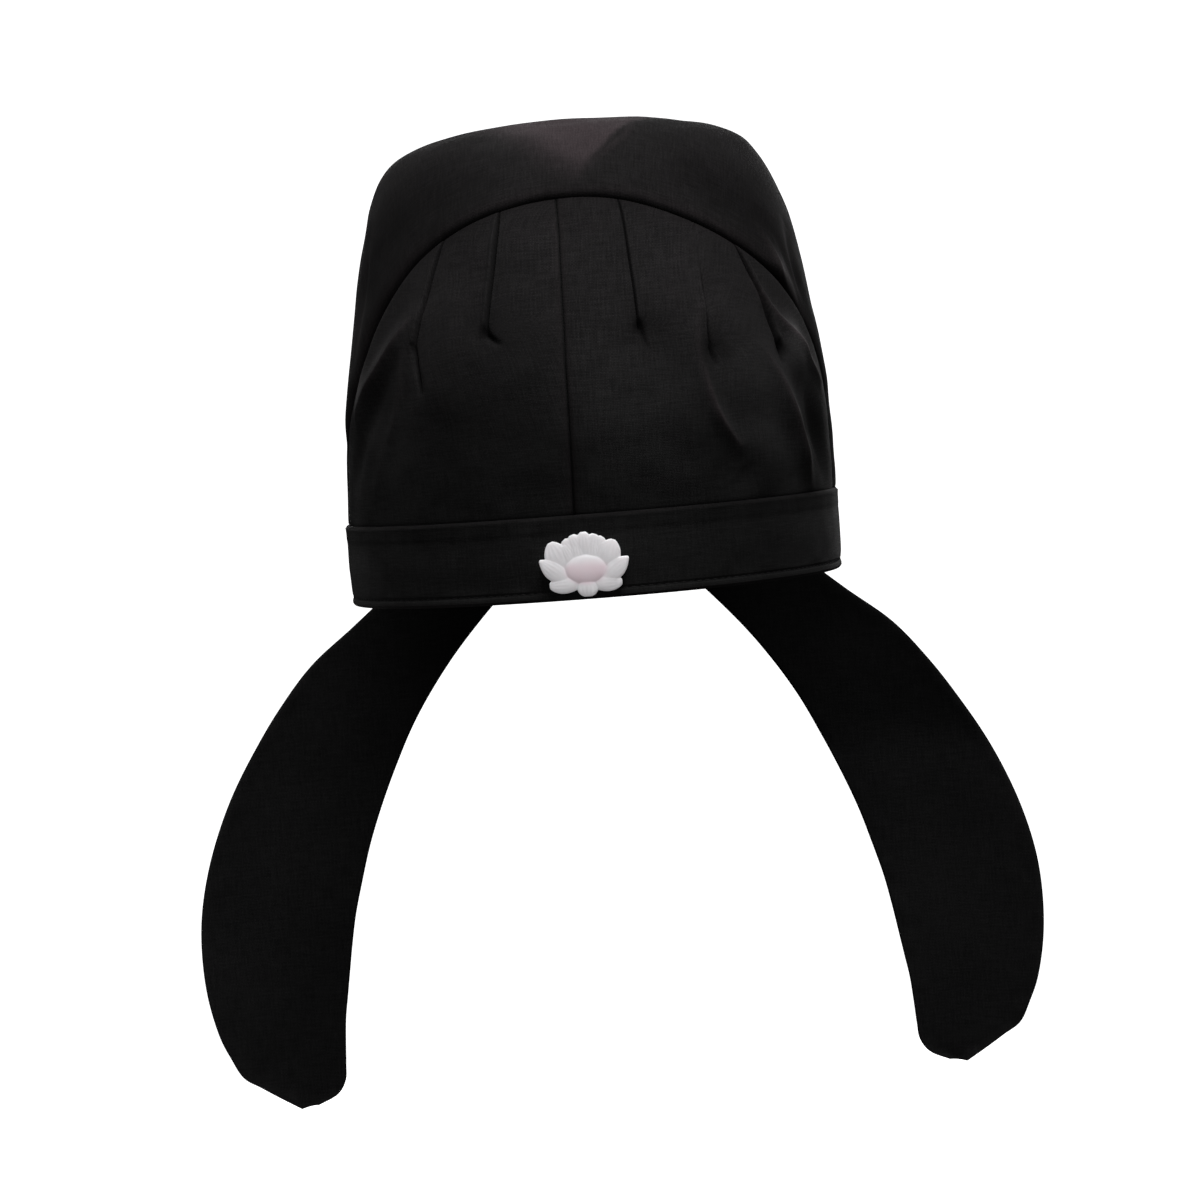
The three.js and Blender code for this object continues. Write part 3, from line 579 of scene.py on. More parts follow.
# The painted highlight on the crown's top, a triangle in the worn colour: its point towards the front and
# its two back corners, how soft its sides are, and where it starts and ends as shares of its length.
PAINTED_HIGHLIGHT_POINT = (7.5, -60.0)
PAINTED_HIGHLIGHT_LEFT = (25.5, -19.3)
PAINTED_HIGHLIGHT_RIGHT_X = -14.0
PAINTED_HIGHLIGHT_LEFT_SOFT = 2.5
PAINTED_HIGHLIGHT_RIGHT_SOFT = 16
PAINTED_HIGHLIGHT_START = (-0.25, 0.45)
PAINTED_HIGHLIGHT_END = (1.0, 2.4)

SEAM_DEPTH = 1.1
SEAM_REACH = 2.2
SEAM_LIP = 1.0
SEAM_LIP_REACH = 0.45
# The arched seam opens towards the right side, where the crown hangs over it.
SEAM_LIP_SIDE_REACH = 1.9
SEAM_SHADE = 1.5
SEAM_SHADE_FRONT = 0.75
SEAM_SHADE_REACH = 1.3
CENTRE_SEAM_SHADE = 0.9
SEAM_SIDE_FROM = 24
SEAM_SIDE_TO = 55
# The seams dip less where they meet the band at the ears.
EAR_FOOT_HOLD = 0.75
EAR_FOOT_HOLD_REACH = 1.5
EAR_FOOT_HOLD_SIDE = 6
FOLD_START = 4.4
FOOT_TUCK = 0.25
FOOT_TUCK_REACH = 0.6
UNEVEN = 0.16
UNEVEN_LENGTH = 17

# Seam allowances inside: a second thickness along each seam.
ALLOWANCE_WIDTH = 8.0
ALLOWANCE_EDGE = 0.8
ALLOWANCE_THICKNESS = 0.7

# -------- the body's surface

PAST_THE_TOP = {name: column[-2] for name, column in BODY.items()}
PAST_THE_TOP |= {
    "half_width": -BODY["half_width"][-2],
    "front": BODY["back"][-2],
    "back": BODY["front"][-2],
}
PAST_THE_ARCH = {name: 2 * column[-1] - column[-2] for name, column in ARCH.items()}


def oval_points(row, angle):
    side, ahead = np.sin(np.radians(angle)), np.cos(np.radians(angle))
    reach = (np.abs(side) ** OVAL_POWER + np.abs(ahead) ** OVAL_POWER) ** (-1 / OVAL_POWER)
    middle, half_depth = (row["front"] + row["back"]) / 2, (row["back"] - row["front"]) / 2
    x = row["lean"] + row["half_width"] * side * reach
    return stacked(x, middle - half_depth * ahead * reach, row["z"])


def disc_points(angle, t):
    """The body seen from above as a disc of radius 1, whose rim is the band."""
    return stacked((1 - t) * np.sin(np.radians(angle)), -(1 - t) * np.cos(np.radians(angle)))


def disc_at(angle, z):
    return disc_points(angle, share_where(BODY, PAST_THE_TOP, "z", z))


def angle_of(points):
    """The angle round from the front, towards the wearer's left."""
    return np.degrees(np.arctan2(points[..., 0], -points[..., 1]))


def body_points(disc):
    row = read_table(BODY, PAST_THE_TOP, 1 - np.linalg.norm(disc, axis=-1))
    return oval_points(row, angle_of(disc))


def body_normals(disc):
    step = 1e-3
    inside = disc * (1 - 2 * step)
    slopes = [
        body_points(inside + step * np.array(way)) - body_points(inside - step * np.array(way))
        for way in ((1.0, 0.0), (0.0, 1.0))
    ]
    normal = np.cross(*slopes)
    return normal / np.linalg.norm(normal, axis=-1, keepdims=True)


def distance_to(points, angle, z):
    """Distance from points to a place on the body."""
    return np.linalg.norm(points - body_points(disc_at(angle, z)), axis=-1)


def arch_height(angle):
    share = share_where(ARCH, PAST_THE_ARCH, "angle", angle)
    return read_table(ARCH, PAST_THE_ARCH, share)["z"]


def arch_gap(angle):
    """How far above or below the arch a cut edge lies, so that its distance to it is even."""
    run = math.radians(1) * math.hypot(BODY["half_width"][0], BODY["front"][0]) / math.sqrt(2)
    slope = (arch_height(angle + 0.5) - arch_height(angle - 0.5)) / run
    return SEAM_GAP * np.hypot(1, slope)


def fold_path(row):
    """A fold as a chain of points on the body: a curve through its three places."""
    share = np.linspace(0, 1, FOLD_POINTS + 1)

    def curve(start, middle, end):
        control = 2 * middle - (start + end) / 2
        return (1 - share) ** 2 * start + 2 * share * (1 - share) * control + share**2 * end

    return body_points(disc_at(curve(row.a0, row.a1, row.a2), curve(row.z0, row.z1, row.z2)))


def near_path(points, path):
    """Each point's distance to a chain of points, and how far along it the nearest place is."""
    distance, share = np.full(points.shape[:-1], np.inf), np.zeros(points.shape[:-1])
    for i, (start, end) in enumerate(zip(path[:-1], path[1:])):
        way = end - start
        along = np.clip((points - start) @ way / (way @ way), 0, 1)
        off = np.linalg.norm(points - start - along[..., None] * way, axis=-1)
        nearer = off < distance
        distance, share = np.where(nearer, off, distance), np.where(nearer, i + along, share)
    return distance, share / (len(path) - 1)


def fold_lift(points, folds):
    """How far the folds stand out, and where their crests are lighter in the worn colour: part wear, part
    painted highlight.
    """
    lift, crest_wear_and_highlight = np.zeros(points.shape[:-1]), np.zeros(points.shape[:-1])
    for row in each_row(folds):
        distance, share = near_path(points, fold_path(row))
        fade = np.sin(math.pi * mix(FOLD_END_FADE, 1 - FOLD_END_FADE, share))
        crest = np.exp(-(np.hypot(distance, CREST_ROUND) - CREST_ROUND) / CREST_REACH)
        lift += fade * (row.height * bump(distance, row.width) + row.crest * crest)
        crest_wear_and_highlight = np.maximum(crest_wear_and_highlight, CREST_WEAR_AND_HIGHLIGHT * row.crest * fade * bump(distance, CREST_WEAR_AND_HIGHLIGHT_REACH))
    return lift, crest_wear_and_highlight


def tuck_lift(points, angle):
    """One side of a tuck stands over the other down to its foot, where the cloth dips.

    Returns the lift, and where the grooves beside the tucks and the dimples at their feet are painted in
    shade."""
    lift, grooves = np.zeros(angle.shape), np.zeros(angle.shape)
    radius, z = np.hypot(points[..., 0], points[..., 1]), points[..., 2]
    for row in each_row(TUCKS):
        top = arch_height(row.top_angle)
        down = (top - z) / (top - row.foot_z)
        middle = mix(row.top_angle, row.foot_angle, np.minimum(down, 1))
        beside = np.radians(angle - middle) * radius
        above = z - row.foot_z
        below = np.maximum(-above, 0)
        begun = 1 - smooth(row.start_z - TUCK_START_FADE, row.start_z, z)
        stitched = bump(below, TUCK_END_REACH) * begun
        low = -np.sign(row.step)
        edge = np.tanh(beside / mix(TUCK_OPEN_EDGE, TUCK_EDGE, stitched))
        fade = bump(below, TUCK_REACH) * begun
        lift += row.step / 2 * edge * np.exp(-np.abs(beside) / TUCK_REACH) * fade
        groove = stitched * bump(beside - low * TUCK_GROOVE_SIDE, TUCK_GROOVE_REACH)
        lift -= row.groove * groove
        lift += row.lip * stitched * bump(beside + low * TUCK_LIP_SIDE, TUCK_LIP_REACH)
        lift -= row.pit * bump(beside, PIT_RADIUS) * bump(above + PIT_BELOW_FOOT, PIT_HEIGHT)
        lift -= row.pit * bump(beside, PIN_RADIUS) * bump(above, PIN_HEIGHT)
        dimple = bump(np.hypot(beside, above + DIMPLE_BELOW_FOOT), DIMPLE_RADIUS)
        grooves = np.maximum(grooves, np.maximum(groove, DIMPLE_PAINTED_SHADE * row.pit * dimple))
    return lift, grooves


def spots(points, table):
    """The sum of a table's round spots."""
    return sum(
        row.amount * bump(distance_to(points, row.angle, row.z), row.reach) for row in each_row(table)
    )


def seam_open(points):
    """Where the arched seam opens: 0 in front, 1 at the right side."""
    return smooth(SEAM_SIDE_FROM, SEAM_SIDE_TO, -angle_of(points))


def seam_shade(points, distance):
    """How much darker the cloth is where the seam opens."""
    return SEAM_SHADE * mix(SEAM_SHADE_FRONT, 1, seam_open(points)) * np.exp(-distance / SEAM_SHADE_REACH)


def painted_highlight(points):
    """The painted highlight's triangle: sharp along its left edge, soft along its right one."""
    back = (points[..., 1] - PAINTED_HIGHLIGHT_POINT[1]) / (PAINTED_HIGHLIGHT_LEFT[1] - PAINTED_HIGHLIGHT_POINT[1])
    left = mix(PAINTED_HIGHLIGHT_POINT[0], PAINTED_HIGHLIGHT_LEFT[0], back) - points[..., 0]
    right = points[..., 0] - mix(PAINTED_HIGHLIGHT_POINT[0], PAINTED_HIGHLIGHT_RIGHT_X, back)
    across = smooth(-PAINTED_HIGHLIGHT_LEFT_SOFT, PAINTED_HIGHLIGHT_LEFT_SOFT, left)
    across = across * smooth(-PAINTED_HIGHLIGHT_RIGHT_SOFT, PAINTED_HIGHLIGHT_RIGHT_SOFT, right)
    return across * smooth(*PAINTED_HIGHLIGHT_START, back) * (1 - smooth(*PAINTED_HIGHLIGHT_END, back))


def sewn(point, normal, lift, from_foot, from_edge, from_ear, from_turning):
    """The two faces of a cloth that is drawn in along its seams and its foot, and is thicker
    inside where its allowances are turned."""
    lip_reach = mix(SEAM_LIP_REACH, SEAM_LIP_SIDE_REACH, seam_open(point))
    dip = SEAM_DEPTH * np.exp(-from_edge / SEAM_REACH) + SEAM_LIP * np.exp(-from_edge / lip_reach)
    held = np.exp(-from_foot / EAR_FOOT_HOLD_REACH) * np.exp(-from_ear / EAR_FOOT_HOLD_SIDE)
    lift = lift - dip * (1 - EAR_FOOT_HOLD * held) - FOOT_TUCK * np.exp(-from_foot / FOOT_TUCK_REACH)
    turned = 1 - smooth(ALLOWANCE_WIDTH, ALLOWANCE_WIDTH + ALLOWANCE_EDGE, from_turning)
    thick = CLOTH - SEAM_LIP * np.exp(-from_turning / SEAM_LIP_REACH) + ALLOWANCE_THICKNESS * turned
    return point + normal * lift[..., None], point + normal * (lift - thick)[..., None]


# -------- making pieces

# Each cloth's dark yarn, light yarn, and the lighter colour that its worn places and painted highlights
# take.
BLACK_TONES = ((0.0054, 0.0054, 0.0054, 1), (0.009, 0.009, 0.009, 1), (0.0262, 0.0206, 0.0223, 1))
# The tails' cloth is the black cloth in darker tones: painted shade.
TAIL_SHADED_TONES = ((0.004, 0.004, 0.0041, 1), (0.006, 0.0059, 0.006, 1), (0.009, 0.0088, 0.009, 1))
SLOT_MATERIALS = {
    "black_cloth": cloth_material("black_cloth", *BLACK_TONES, sheen=0.015),
    "tail_cloth": cloth_material("tail_cloth", *TAIL_SHADED_TONES, sheen=0.01),
    "carved_resin": resin_material(),
}


def add_piece(name, slot, points, faces, attributes, node=None, material=None):
    """A piece at the origin, with its place in its mesh, riding on the one body."""
    mesh = bpy.data.meshes.new(name)
    mesh.from_pydata((points * MM).tolist(), [], faces)
    mesh.validate()
    mesh.shade_smooth()
    for key, values in attributes.items():
        values = np.asarray(values, np.float32)
        kind, field = ("FLOAT_VECTOR", "vector") if values.ndim == 2 else ("FLOAT", "value")
        mesh.attributes.new(key, kind, "POINT").data.foreach_set(field, values.ravel())
    mesh.materials.append(material or SLOT_MATERIALS[slot])
    piece = link_object(name, mesh)
    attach(piece, "root")
    if node:
        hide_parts(node)
    return piece


def add_wall(node, slot, outer, inner, cloth, wear_and_highlight, tone):
    """A closed wall of cloth: an outer face, an inner face and the rim between them."""
    rows, cols = outer.shape[:2]
    front = grid_quads(rows, cols)
    number = np.arange(rows * cols).reshape(rows, cols)
    loop = np.concatenate([number[0, :], number[1:, -1], number[-1, -2::-1], number[-2:0:-1, 0]])
    after = np.roll(loop, -1)
    rim = np.stack([loop + rows * cols, after + rows * cols, after, loop], 1)
    faces = np.concatenate([front, front[:, ::-1] + rows * cols, rim]).tolist()
    points = np.concatenate([outer.reshape(-1, 3), inner.reshape(-1, 3)])
    flat = stacked(*cloth, 0.0).reshape(-1, 3) * MM
    attributes = {"cloth": np.tile(flat, (2, 1))}
    attributes |= {"wear_and_highlight": np.tile(wear_and_highlight.ravel(), 2), "painted_light": np.tile(tone.ravel(), 2)}
    return add_piece(f"{node}_cloth", slot, points, faces, attributes, node)


# -------- front panel

PANEL_COLUMN_SPACING = (0.16, 0.7, 0.8, 8)
PANEL_ROW_SPACING = (0.16, 0.7, 0.6, 4)
PANEL_WEAR = 0.38
PANEL_WEAR_REACH = 1.2
PANEL_WEAR_FROM = 0.5


def panel_columns(sign):
    """Angles on the arch and on the band of each column of one half, in order towards the left.
    Columns crowd at the seam, the ear and the tucks, and run along the tucks."""
    stations = [(sign * CENTRE_SEAM["arch"], sign * CENTRE_SEAM["band"]), (EAR_ANGLE, EAR_ANGLE)]
    for row in each_row(TUCKS):
        if row.top_angle * sign > 0:
            top = arch_height(row.top_angle)
            down = (top - PANEL_FOOT) / (top - row.foot_z)
            stations.append((sign * row.top_angle, sign * mix(row.top_angle, row.foot_angle, down)))
    on_arch, on_band = np.array(sorted(stations)).T
    scale = math.radians(1) * BODY["half_width"][3]
    crowds = (on_arch - on_arch[0]) * scale
    arch = on_arch[0] + spaced(crowds[-1], PANEL_COLUMN_SPACING, crowds) / scale
    band = np.interp(arch, on_arch, on_band)
    return sign * arch[::sign], sign * band[::sign]


def front_panel(side):
    sign = 1 if side == "left" else -1
    arch, band = panel_columns(sign)
    tallest = arch_height(0.0) - PANEL_FOOT
    up = (spaced(tallest, PANEL_ROW_SPACING, (0, tallest)) / tallest)[:, None]
    highest = arch_height(arch) - arch_gap(arch)
    z = mix(PANEL_FOOT, highest, up)
    angle = mix(band, arch, up)
    seam_angle = mix(CENTRE_SEAM["band"], CENTRE_SEAM["arch"], up)
    at_seam = np.exp(-np.abs(angle - seam_angle))
    at_ear = np.exp(-np.abs(EAR_ANGLE - sign * angle))
    angle = angle + sign * SEAM_GAP_ANGLE * (at_seam - at_ear)
    disc = disc_at(angle, z)
    point, normal = body_points(disc), body_normals(disc)
    from_foot = z - PANEL_FOOT
    from_arch = (highest - z) * SEAM_GAP / arch_gap(arch)
    from_centre, from_ear = (distance_to(point, at, z) for at in (seam_angle, sign * EAR_ANGLE))
    near_seam = np.minimum(from_arch, from_centre)
    from_edge = np.minimum(near_seam, from_ear)
    folds, crest_wear_and_highlight = fold_lift(point, PANEL_FOLDS)
    creases = fold_lift(point, CREASES)[0]
    tucks, grooves = tuck_lift(point, angle)
    lift = folds + creases + tucks + spots(point, BILLOWS)
    lift += UNEVEN * soft_noise(point, UNEVEN_LENGTH, 3 + sign)
    lift *= (1 - np.exp(-from_arch / FOLD_START)) * (1 - np.exp(-from_foot / FOLD_START))
    outer, inner = sewn(point, normal, lift, from_foot, from_edge, from_ear, near_seam)
    cloth = (run_lengths(outer, 1), run_lengths(outer, 0))
    wear_and_highlight = PANEL_WEAR * np.exp(-from_edge / PANEL_WEAR_REACH) * (near_seam > PANEL_WEAR_FROM)
    wear_and_highlight = np.maximum(wear_and_highlight, crest_wear_and_highlight)
    # Painted light and shade: the spots, and painted shade in the creases, in the grooves and dimples of
    # the tucks, and along the seams.
    tone = spots(point, PAINTED_LIGHT_SPOTS) + CREASE_PAINTED_SHADE * creases - GROOVE_PAINTED_SHADE * grooves
    tone -= seam_shade(point, from_arch)
    tone -= CENTRE_SEAM_SHADE * (1 - up) * np.exp(-from_centre / SEAM_SHADE_REACH)
    piece = add_wall(f"front_panel_{side}", "black_cloth", outer, inner, cloth, wear_and_highlight, tone)


# -------- crown

CROWN_LENGTH = 245.0
CROWN_COLUMN_SPACING = (0.5, 1.55, 1, 8)
CROWN_ROW_SPACING = (0.22, 1.55, 0.8, 7)
CROWN_EAR_ANGLE = 108
ARCH_STEPS = 1200
EAR_STEPS = 100
ARCH_ROLL = 1.1
ARCH_ROLL_NEAR = 3
ARCH_ROLL_FAR = 16
CROWN_WEAR = 0.25
CROWN_WEAR_AT = 2
CROWN_WEAR_REACH = 1.5
PAINTED_HIGHLIGHT_STRENGTH = 1.7


def crown_edge(ear):
    """The crown's front edge on the disc, from the right ear over the arch to the left ear, and
    how far along it each point lies."""
    angle = np.linspace(-ear, ear, ARCH_STEPS + 1)
    arch = disc_at(angle, arch_height(angle) + arch_gap(angle))
    foot = disc_points(np.array([-ear, ear]), 0.0)
    share = np.linspace(0, 1, EAR_STEPS + 1)[:-1, None]
    chain = [mix(foot[0], arch[0], share), arch, mix(foot[1], arch[-1], share)[::-1]]
    chain = np.concatenate(chain)
    place = run_lengths(body_points(chain), 0)
    crowds = place[[0, EAR_STEPS, EAR_STEPS + ARCH_STEPS, -1]]
    at = spaced(place[-1], CROWN_COLUMN_SPACING, crowds)
    return stacked(*(np.interp(at, place, axis) for axis in chain.T)), at / place[-1]


def crown():
    ear = EAR_ANGLE + SEAM_GAP_ANGLE
    edge, u = crown_edge(ear)
    w = (spaced(CROWN_LENGTH, CROWN_ROW_SPACING, (0,)) / CROWN_LENGTH)[:, None]
    back = disc_points(180 - (180 - CROWN_EAR_ANGLE) * (2 * u - 1), 0.0)
    disc = mix(edge, back, w[..., None])
    # the two ends of each row follow the band instead of a straight line
    for sign, share in ((-1, 1 - u), (1, u)):
        near, far = (disc_points(sign * angle, 0.0) for angle in (ear, CROWN_EAR_ANGLE))
        bow = disc_points(sign * mix(ear, CROWN_EAR_ANGLE, w), 0.0) - mix(near, far, w)[:, None]
        disc = disc + bow * share[:, None]
    point, normal = body_points(disc), body_normals(disc)
    from_seam = near_path(point, body_points(edge))[0]
    from_foot = point[..., 2] - PANEL_FOOT
    folds, crest_wear_and_highlight = fold_lift(point, CROWN_FOLDS)
    lift = folds + UNEVEN * soft_noise(point, UNEVEN_LENGTH, 11)
    lift *= 1 - np.exp(-from_foot / FOLD_START)
    lift += ARCH_ROLL * (1 - np.exp(-from_seam / ARCH_ROLL_NEAR)) * bump(from_seam, ARCH_ROLL_FAR)
    outer, inner = sewn(point, normal, lift, from_foot, from_seam, from_seam, from_seam)
    across = run_lengths(outer, 1)
    cloth = (across - across[:, [across.shape[1] // 2]], run_lengths(outer, 0))
    wear_and_highlight = CROWN_WEAR * np.exp(-np.abs(from_seam - CROWN_WEAR_AT) / CROWN_WEAR_REACH)
    # The crown's top carries a painted highlight in the worn colour.
    wear_and_highlight = np.maximum(np.maximum(wear_and_highlight, crest_wear_and_highlight), PAINTED_HIGHLIGHT_STRENGTH * painted_highlight(point))
    # Painted light and shade on the crown, and painted shade along its seam.
    tone = spots(point, PAINTED_LIGHT_SPOTS) - seam_shade(point, from_seam)
    piece = add_wall("crown", "black_cloth", outer, inner, cloth, wear_and_highlight, tone)


# -------- headband

BAND_STEPS = 3600
BAND_SPACING = 0.9
BAND_FACE_SPACING = (0.25, 0.7, 4, 6)
BAND_CORNER_STEPS = 4
BAND_INSIDE_STEPS = 13
HEM_STITCH_HEIGHT = 2.9
HEM_GROOVE = 0.4
HEM_GROOVE_REACH = 0.5
# Low rolls along the band's two edges: how far they stand out, how far up they lie, their reach.
HEM_ROLL = (0.22, 1.2, 1.1)
TOP_ROLL = (0.12, BAND_HEIGHT - 0.9, 0.7)
# How much each stitch pulls in the groove and the roll under it.
GROOVE_PULL = 0.35
ROLL_PULL = 0.2
BAND_UNEVEN = 0.12
ALLOWANCE_STEP_Z = BAND_HEIGHT - 5.6
ALLOWANCE_STEP = 0.16
# The butt join at the centre back, and its reach in degrees.
BACK_JOIN = 0.5
BACK_JOIN_REACH = 1 / 3
# Painted shade darkens the band over its allowance and in its turned top edge, painted light and shade
# make it lighter or darker round it in doublings, and its two edges are pale with wear.
BAND_TOP_PAINTED_SHADE = 0.35
BAND_EDGE_PAINTED_SHADE = 0.5
BAND_TOP_WEAR = 0.15
BAND_FOOT_WEAR = 0.25
BAND_PAINTED_LIGHT = columns("angle reach amount", (-68, 16, 1.1), (34, 24, -0.45), (76, 9, 0.7))
STITCH_PITCH = 2.8
STITCH_LENGTH = 2.0
STITCH_RADIUS = 0.17
STITCH_END = 0.35
# How far a stitch's path lies out from the groove and its ends sink, as shares of its radius.
STITCH_PROUD = 0.6
STITCH_SUNK = 0.75
STITCH_SIDES = 6
STITCH_RINGS = 7


def band_ring(out, z, angle):
    width, lean, front, back = (BODY[name][0] for name in ("half_width", "lean", "front", "back"))
    rim = {"half_width": width + out, "lean": lean, "front": front - out, "back": back + out, "z": z}
    return oval_points(rim, angle)


def face_reach(z):
    """How far out the band's face stands: a little less towards its foot."""
    return BAND_PROUD - BAND_BOTTOM_TUCK * (1 - smooth(0, BAND_HEIGHT / 2, z))


def band_profile():
    """Reach and height of points round the band's section, and how many of them are on its face."""
    low, high = BAND_CORNER, BAND_HEIGHT - BAND_CORNER
    outer, inner = BAND_PROUD - BAND_CORNER, BAND_PROUD - BAND_THICKNESS + BAND_CORNER

    def corner(reach, z, start):
        turn = start + np.linspace(0, math.pi / 2, BAND_CORNER_STEPS + 1)
        return stacked(reach + BAND_CORNER * np.cos(turn), z + BAND_CORNER * np.sin(turn))

    face_z = low + spaced(high - low, BAND_FACE_SPACING, (0,))
    inside_z = np.linspace(high, low, BAND_INSIDE_STEPS + 1)[1:-1]
    parts = [
        stacked(face_reach(face_z), face_z),
        corner(outer, high, 0)[1:],
        corner(inner, high, math.pi / 2),
        stacked(inner - BAND_CORNER, inside_z),
        corner(inner, low, math.pi),
        corner(outer - BAND_BOTTOM_TUCK, low, 3 * math.pi / 2)[:-1],
    ]
    return np.concatenate(parts), len(face_z)


def band_walk():
    """The length round the band from the centre back, and how to get the angle at a share of it."""
    fine = np.linspace(-180, 180, BAND_STEPS + 1)
    run = run_lengths(band_ring(BAND_PROUD, 0.0, fine), 0)
    return run[-1], lambda share: np.interp(share * run[-1], run, fine)


def band_dress(z, around, point):
    """How far the band's outer face stands off its plain shape."""
    slack = 0.5 - 0.5 * np.cos(2 * math.pi * around / STITCH_PITCH)

    def roll(height, at, reach):
        return height * bump(z - at, reach)

    lift = roll(-HEM_GROOVE, HEM_STITCH_HEIGHT, HEM_GROOVE_REACH) * (1 - GROOVE_PULL * slack)
    lift += roll(*HEM_ROLL) * (1 - ROLL_PULL * slack) + roll(*TOP_ROLL)
    lift += ALLOWANCE_STEP * smooth(ALLOWANCE_STEP_Z - 0.5, ALLOWANCE_STEP_Z + 0.5, z)
    return lift + BAND_UNEVEN * soft_noise(point, 14, 5) * smooth(3, 6, z)


def headband():
    profile, face_count = band_profile()
    whole, angle_at = band_walk()
    count = round(whole / BAND_SPACING)
    share = np.arange(count) / count
    angle, around = angle_at(share), share * whole
    out, z = profile[:, [0]], profile[:, [1]]
    plain = band_ring(out, z, angle)
    lift = band_dress(z, around, plain) - BACK_JOIN * np.exp((np.abs(angle) - 180) / BACK_JOIN_REACH)
    lift[face_count:] = 0
    points = band_ring(out + lift, z, angle)
    flat = stacked(around, run_lengths(plain[:, 0], 0)[:, None], 0.0) * MM
    wear_and_highlight = BAND_TOP_WEAR * bump(z - BAND_HEIGHT + 0.3, 0.7) + BAND_FOOT_WEAR * bump(z, 1.0)
    # Painted light and shade on the band.
    tone = sum(row.amount * bump(angle - row.angle, row.reach) for row in each_row(BAND_PAINTED_LIGHT))
    tone = tone - BAND_TOP_PAINTED_SHADE * smooth(ALLOWANCE_STEP_Z - 0.6, ALLOWANCE_STEP_Z + 0.6, z)
    tone -= BAND_EDGE_PAINTED_SHADE * smooth(BAND_HEIGHT - 1.2, BAND_HEIGHT - 0.3, z)
    wear_and_highlight = np.broadcast_to(wear_and_highlight, tone.shape)
    attributes = {"cloth": flat.reshape(-1, 3), "wear_and_highlight": wear_and_highlight.ravel(), "painted_light": tone.ravel()}
    faces = grid_quads(len(profile), count, wrap=True, close=True).tolist()
    points = points.reshape(-1, 3)
    return add_piece("headband_cloth", "black_cloth", points, faces, attributes, "headband")


def hem_stitching():
    """Short runs of thread along the hem that dive into the cloth at both ends."""
    whole, angle_at = band_walk()
    begin = np.arange(round(whole / STITCH_PITCH)) / round(whole / STITCH_PITCH)
    out = face_reach(HEM_STITCH_HEIGHT) - HEM_GROOVE + STITCH_PROUD * STITCH_RADIUS
    shares = (begin, (begin + STITCH_LENGTH / whole) % 1)
    starts, ends = (
        band_ring(out, HEM_STITCH_HEIGHT, angle_at(share))[:, None, None] for share in shares
    )
    outward, way = starts * (1, 1, 0), ends - starts
    outward, way = (a / np.linalg.norm(a, axis=-1, keepdims=True) for a in (outward, way))
    share = np.linspace(0, 1, STITCH_RINGS)[:, None, None]
    bow = np.sqrt(np.sin(math.pi * share))
    around = turns_of(STITCH_SIDES)[:, None]
    spoke = outward * np.cos(around) + np.cross(way, outward) * np.sin(around)
    radius = STITCH_RADIUS * mix(STITCH_END, 1, bow)
    points = mix(starts, ends, share) + outward * (bow - STITCH_SUNK) * STITCH_RADIUS
    points = (points + spoke * radius).reshape(-1, 3)
    per = STITCH_RINGS * STITCH_SIDES
    faces = grid_quads(STITCH_RINGS, STITCH_SIDES, wrap=True).tolist()
    faces += [list(reversed(range(STITCH_SIDES))), list(range(per - STITCH_SIDES, per))]
    faces = [[per * i + corner for corner in face] for i in range(len(begin)) for face in faces]
    return add_piece("hem_stitching", "black_cloth", points, faces, {}, material=thread_material())


# -------- tails

# Tail outline, from the centre back down to the tip.
TAIL = columns(
    "outer_x outer_z inner_x inner_z",
    (0.4, 49, 0.4, 22),
    (20, 44, 7.5, 18),
    (38, 33, 18, 10),
    (56, 17.5, 33, -4),
    (73, 1.5, 50, -22),
    (89.5, -12.5, 61.5, -36.5),
    (106.5, -26, 71, -51),
    (119.5, -41, 78.7, -66),
    (130, -56, 85, -80),
    (139, -71, 90.4, -94),
    (145.9, -86, 94.5, -107.5),
    (151, -101, 97.8, -119.5),
    (154.2, -116, 100, -130.5),
    (155.2, -131, 101.7, -140.5),
    (154.3, -146, 103.2, -149.5),
    (151.4, -160, 104.6, -158),
    (147.8, -169, 105.4, -167.5),
    (143.8, -176.6, 105.9, -175),
    (137.5, -181, 106.6, -181),
    (130.5, -185.7, 110, -186),
    (123.4, -190.2, 117, -189.2),
)
TAIL_CLOTH = 2.2
# How far back the tails' inner face lies, how it comes forward to the sides, and its hollow.
TAIL_BACK = 98.35
TAIL_SWEEP = 0.00055
TAIL_HOLLOW = 2.2
TAIL_HOLLOW_FULL_AT = 0.625
# Both tails hang a little to the wearer's right, the left tail (1) lower down.
TAIL_SWAY = -3.4
TAIL_SWAY_FROM = 40
TAIL_SWAY_TO = {1: -80, -1: -14}
TAIL_WIDE = 48.0
TAIL_LONG = 270.0
TAIL_SPACING = (0.18, 1.6, 0.5, 6)
TAIL_EDGE_ROUND = 1.1
TAIL_PUCKER = 0.14
TAIL_RIDGE = 0.16
TAIL_UNEVEN = 0.2
TAIL_WEAR = 0.4
# A painted shadow of the cap darkens the tails at their roots, and painted light and shade make one tail a
# little lighter than the other.
TAIL_ROOT_PAINTED_SHADOW = {1: -0.75, -1: -0.25}
TAIL_PAINTED_LIGHT = {1: -0.25, -1: 0.35}
TAIL_SHADOW_FROM = -78
TAIL_SHADOW_TO = -58


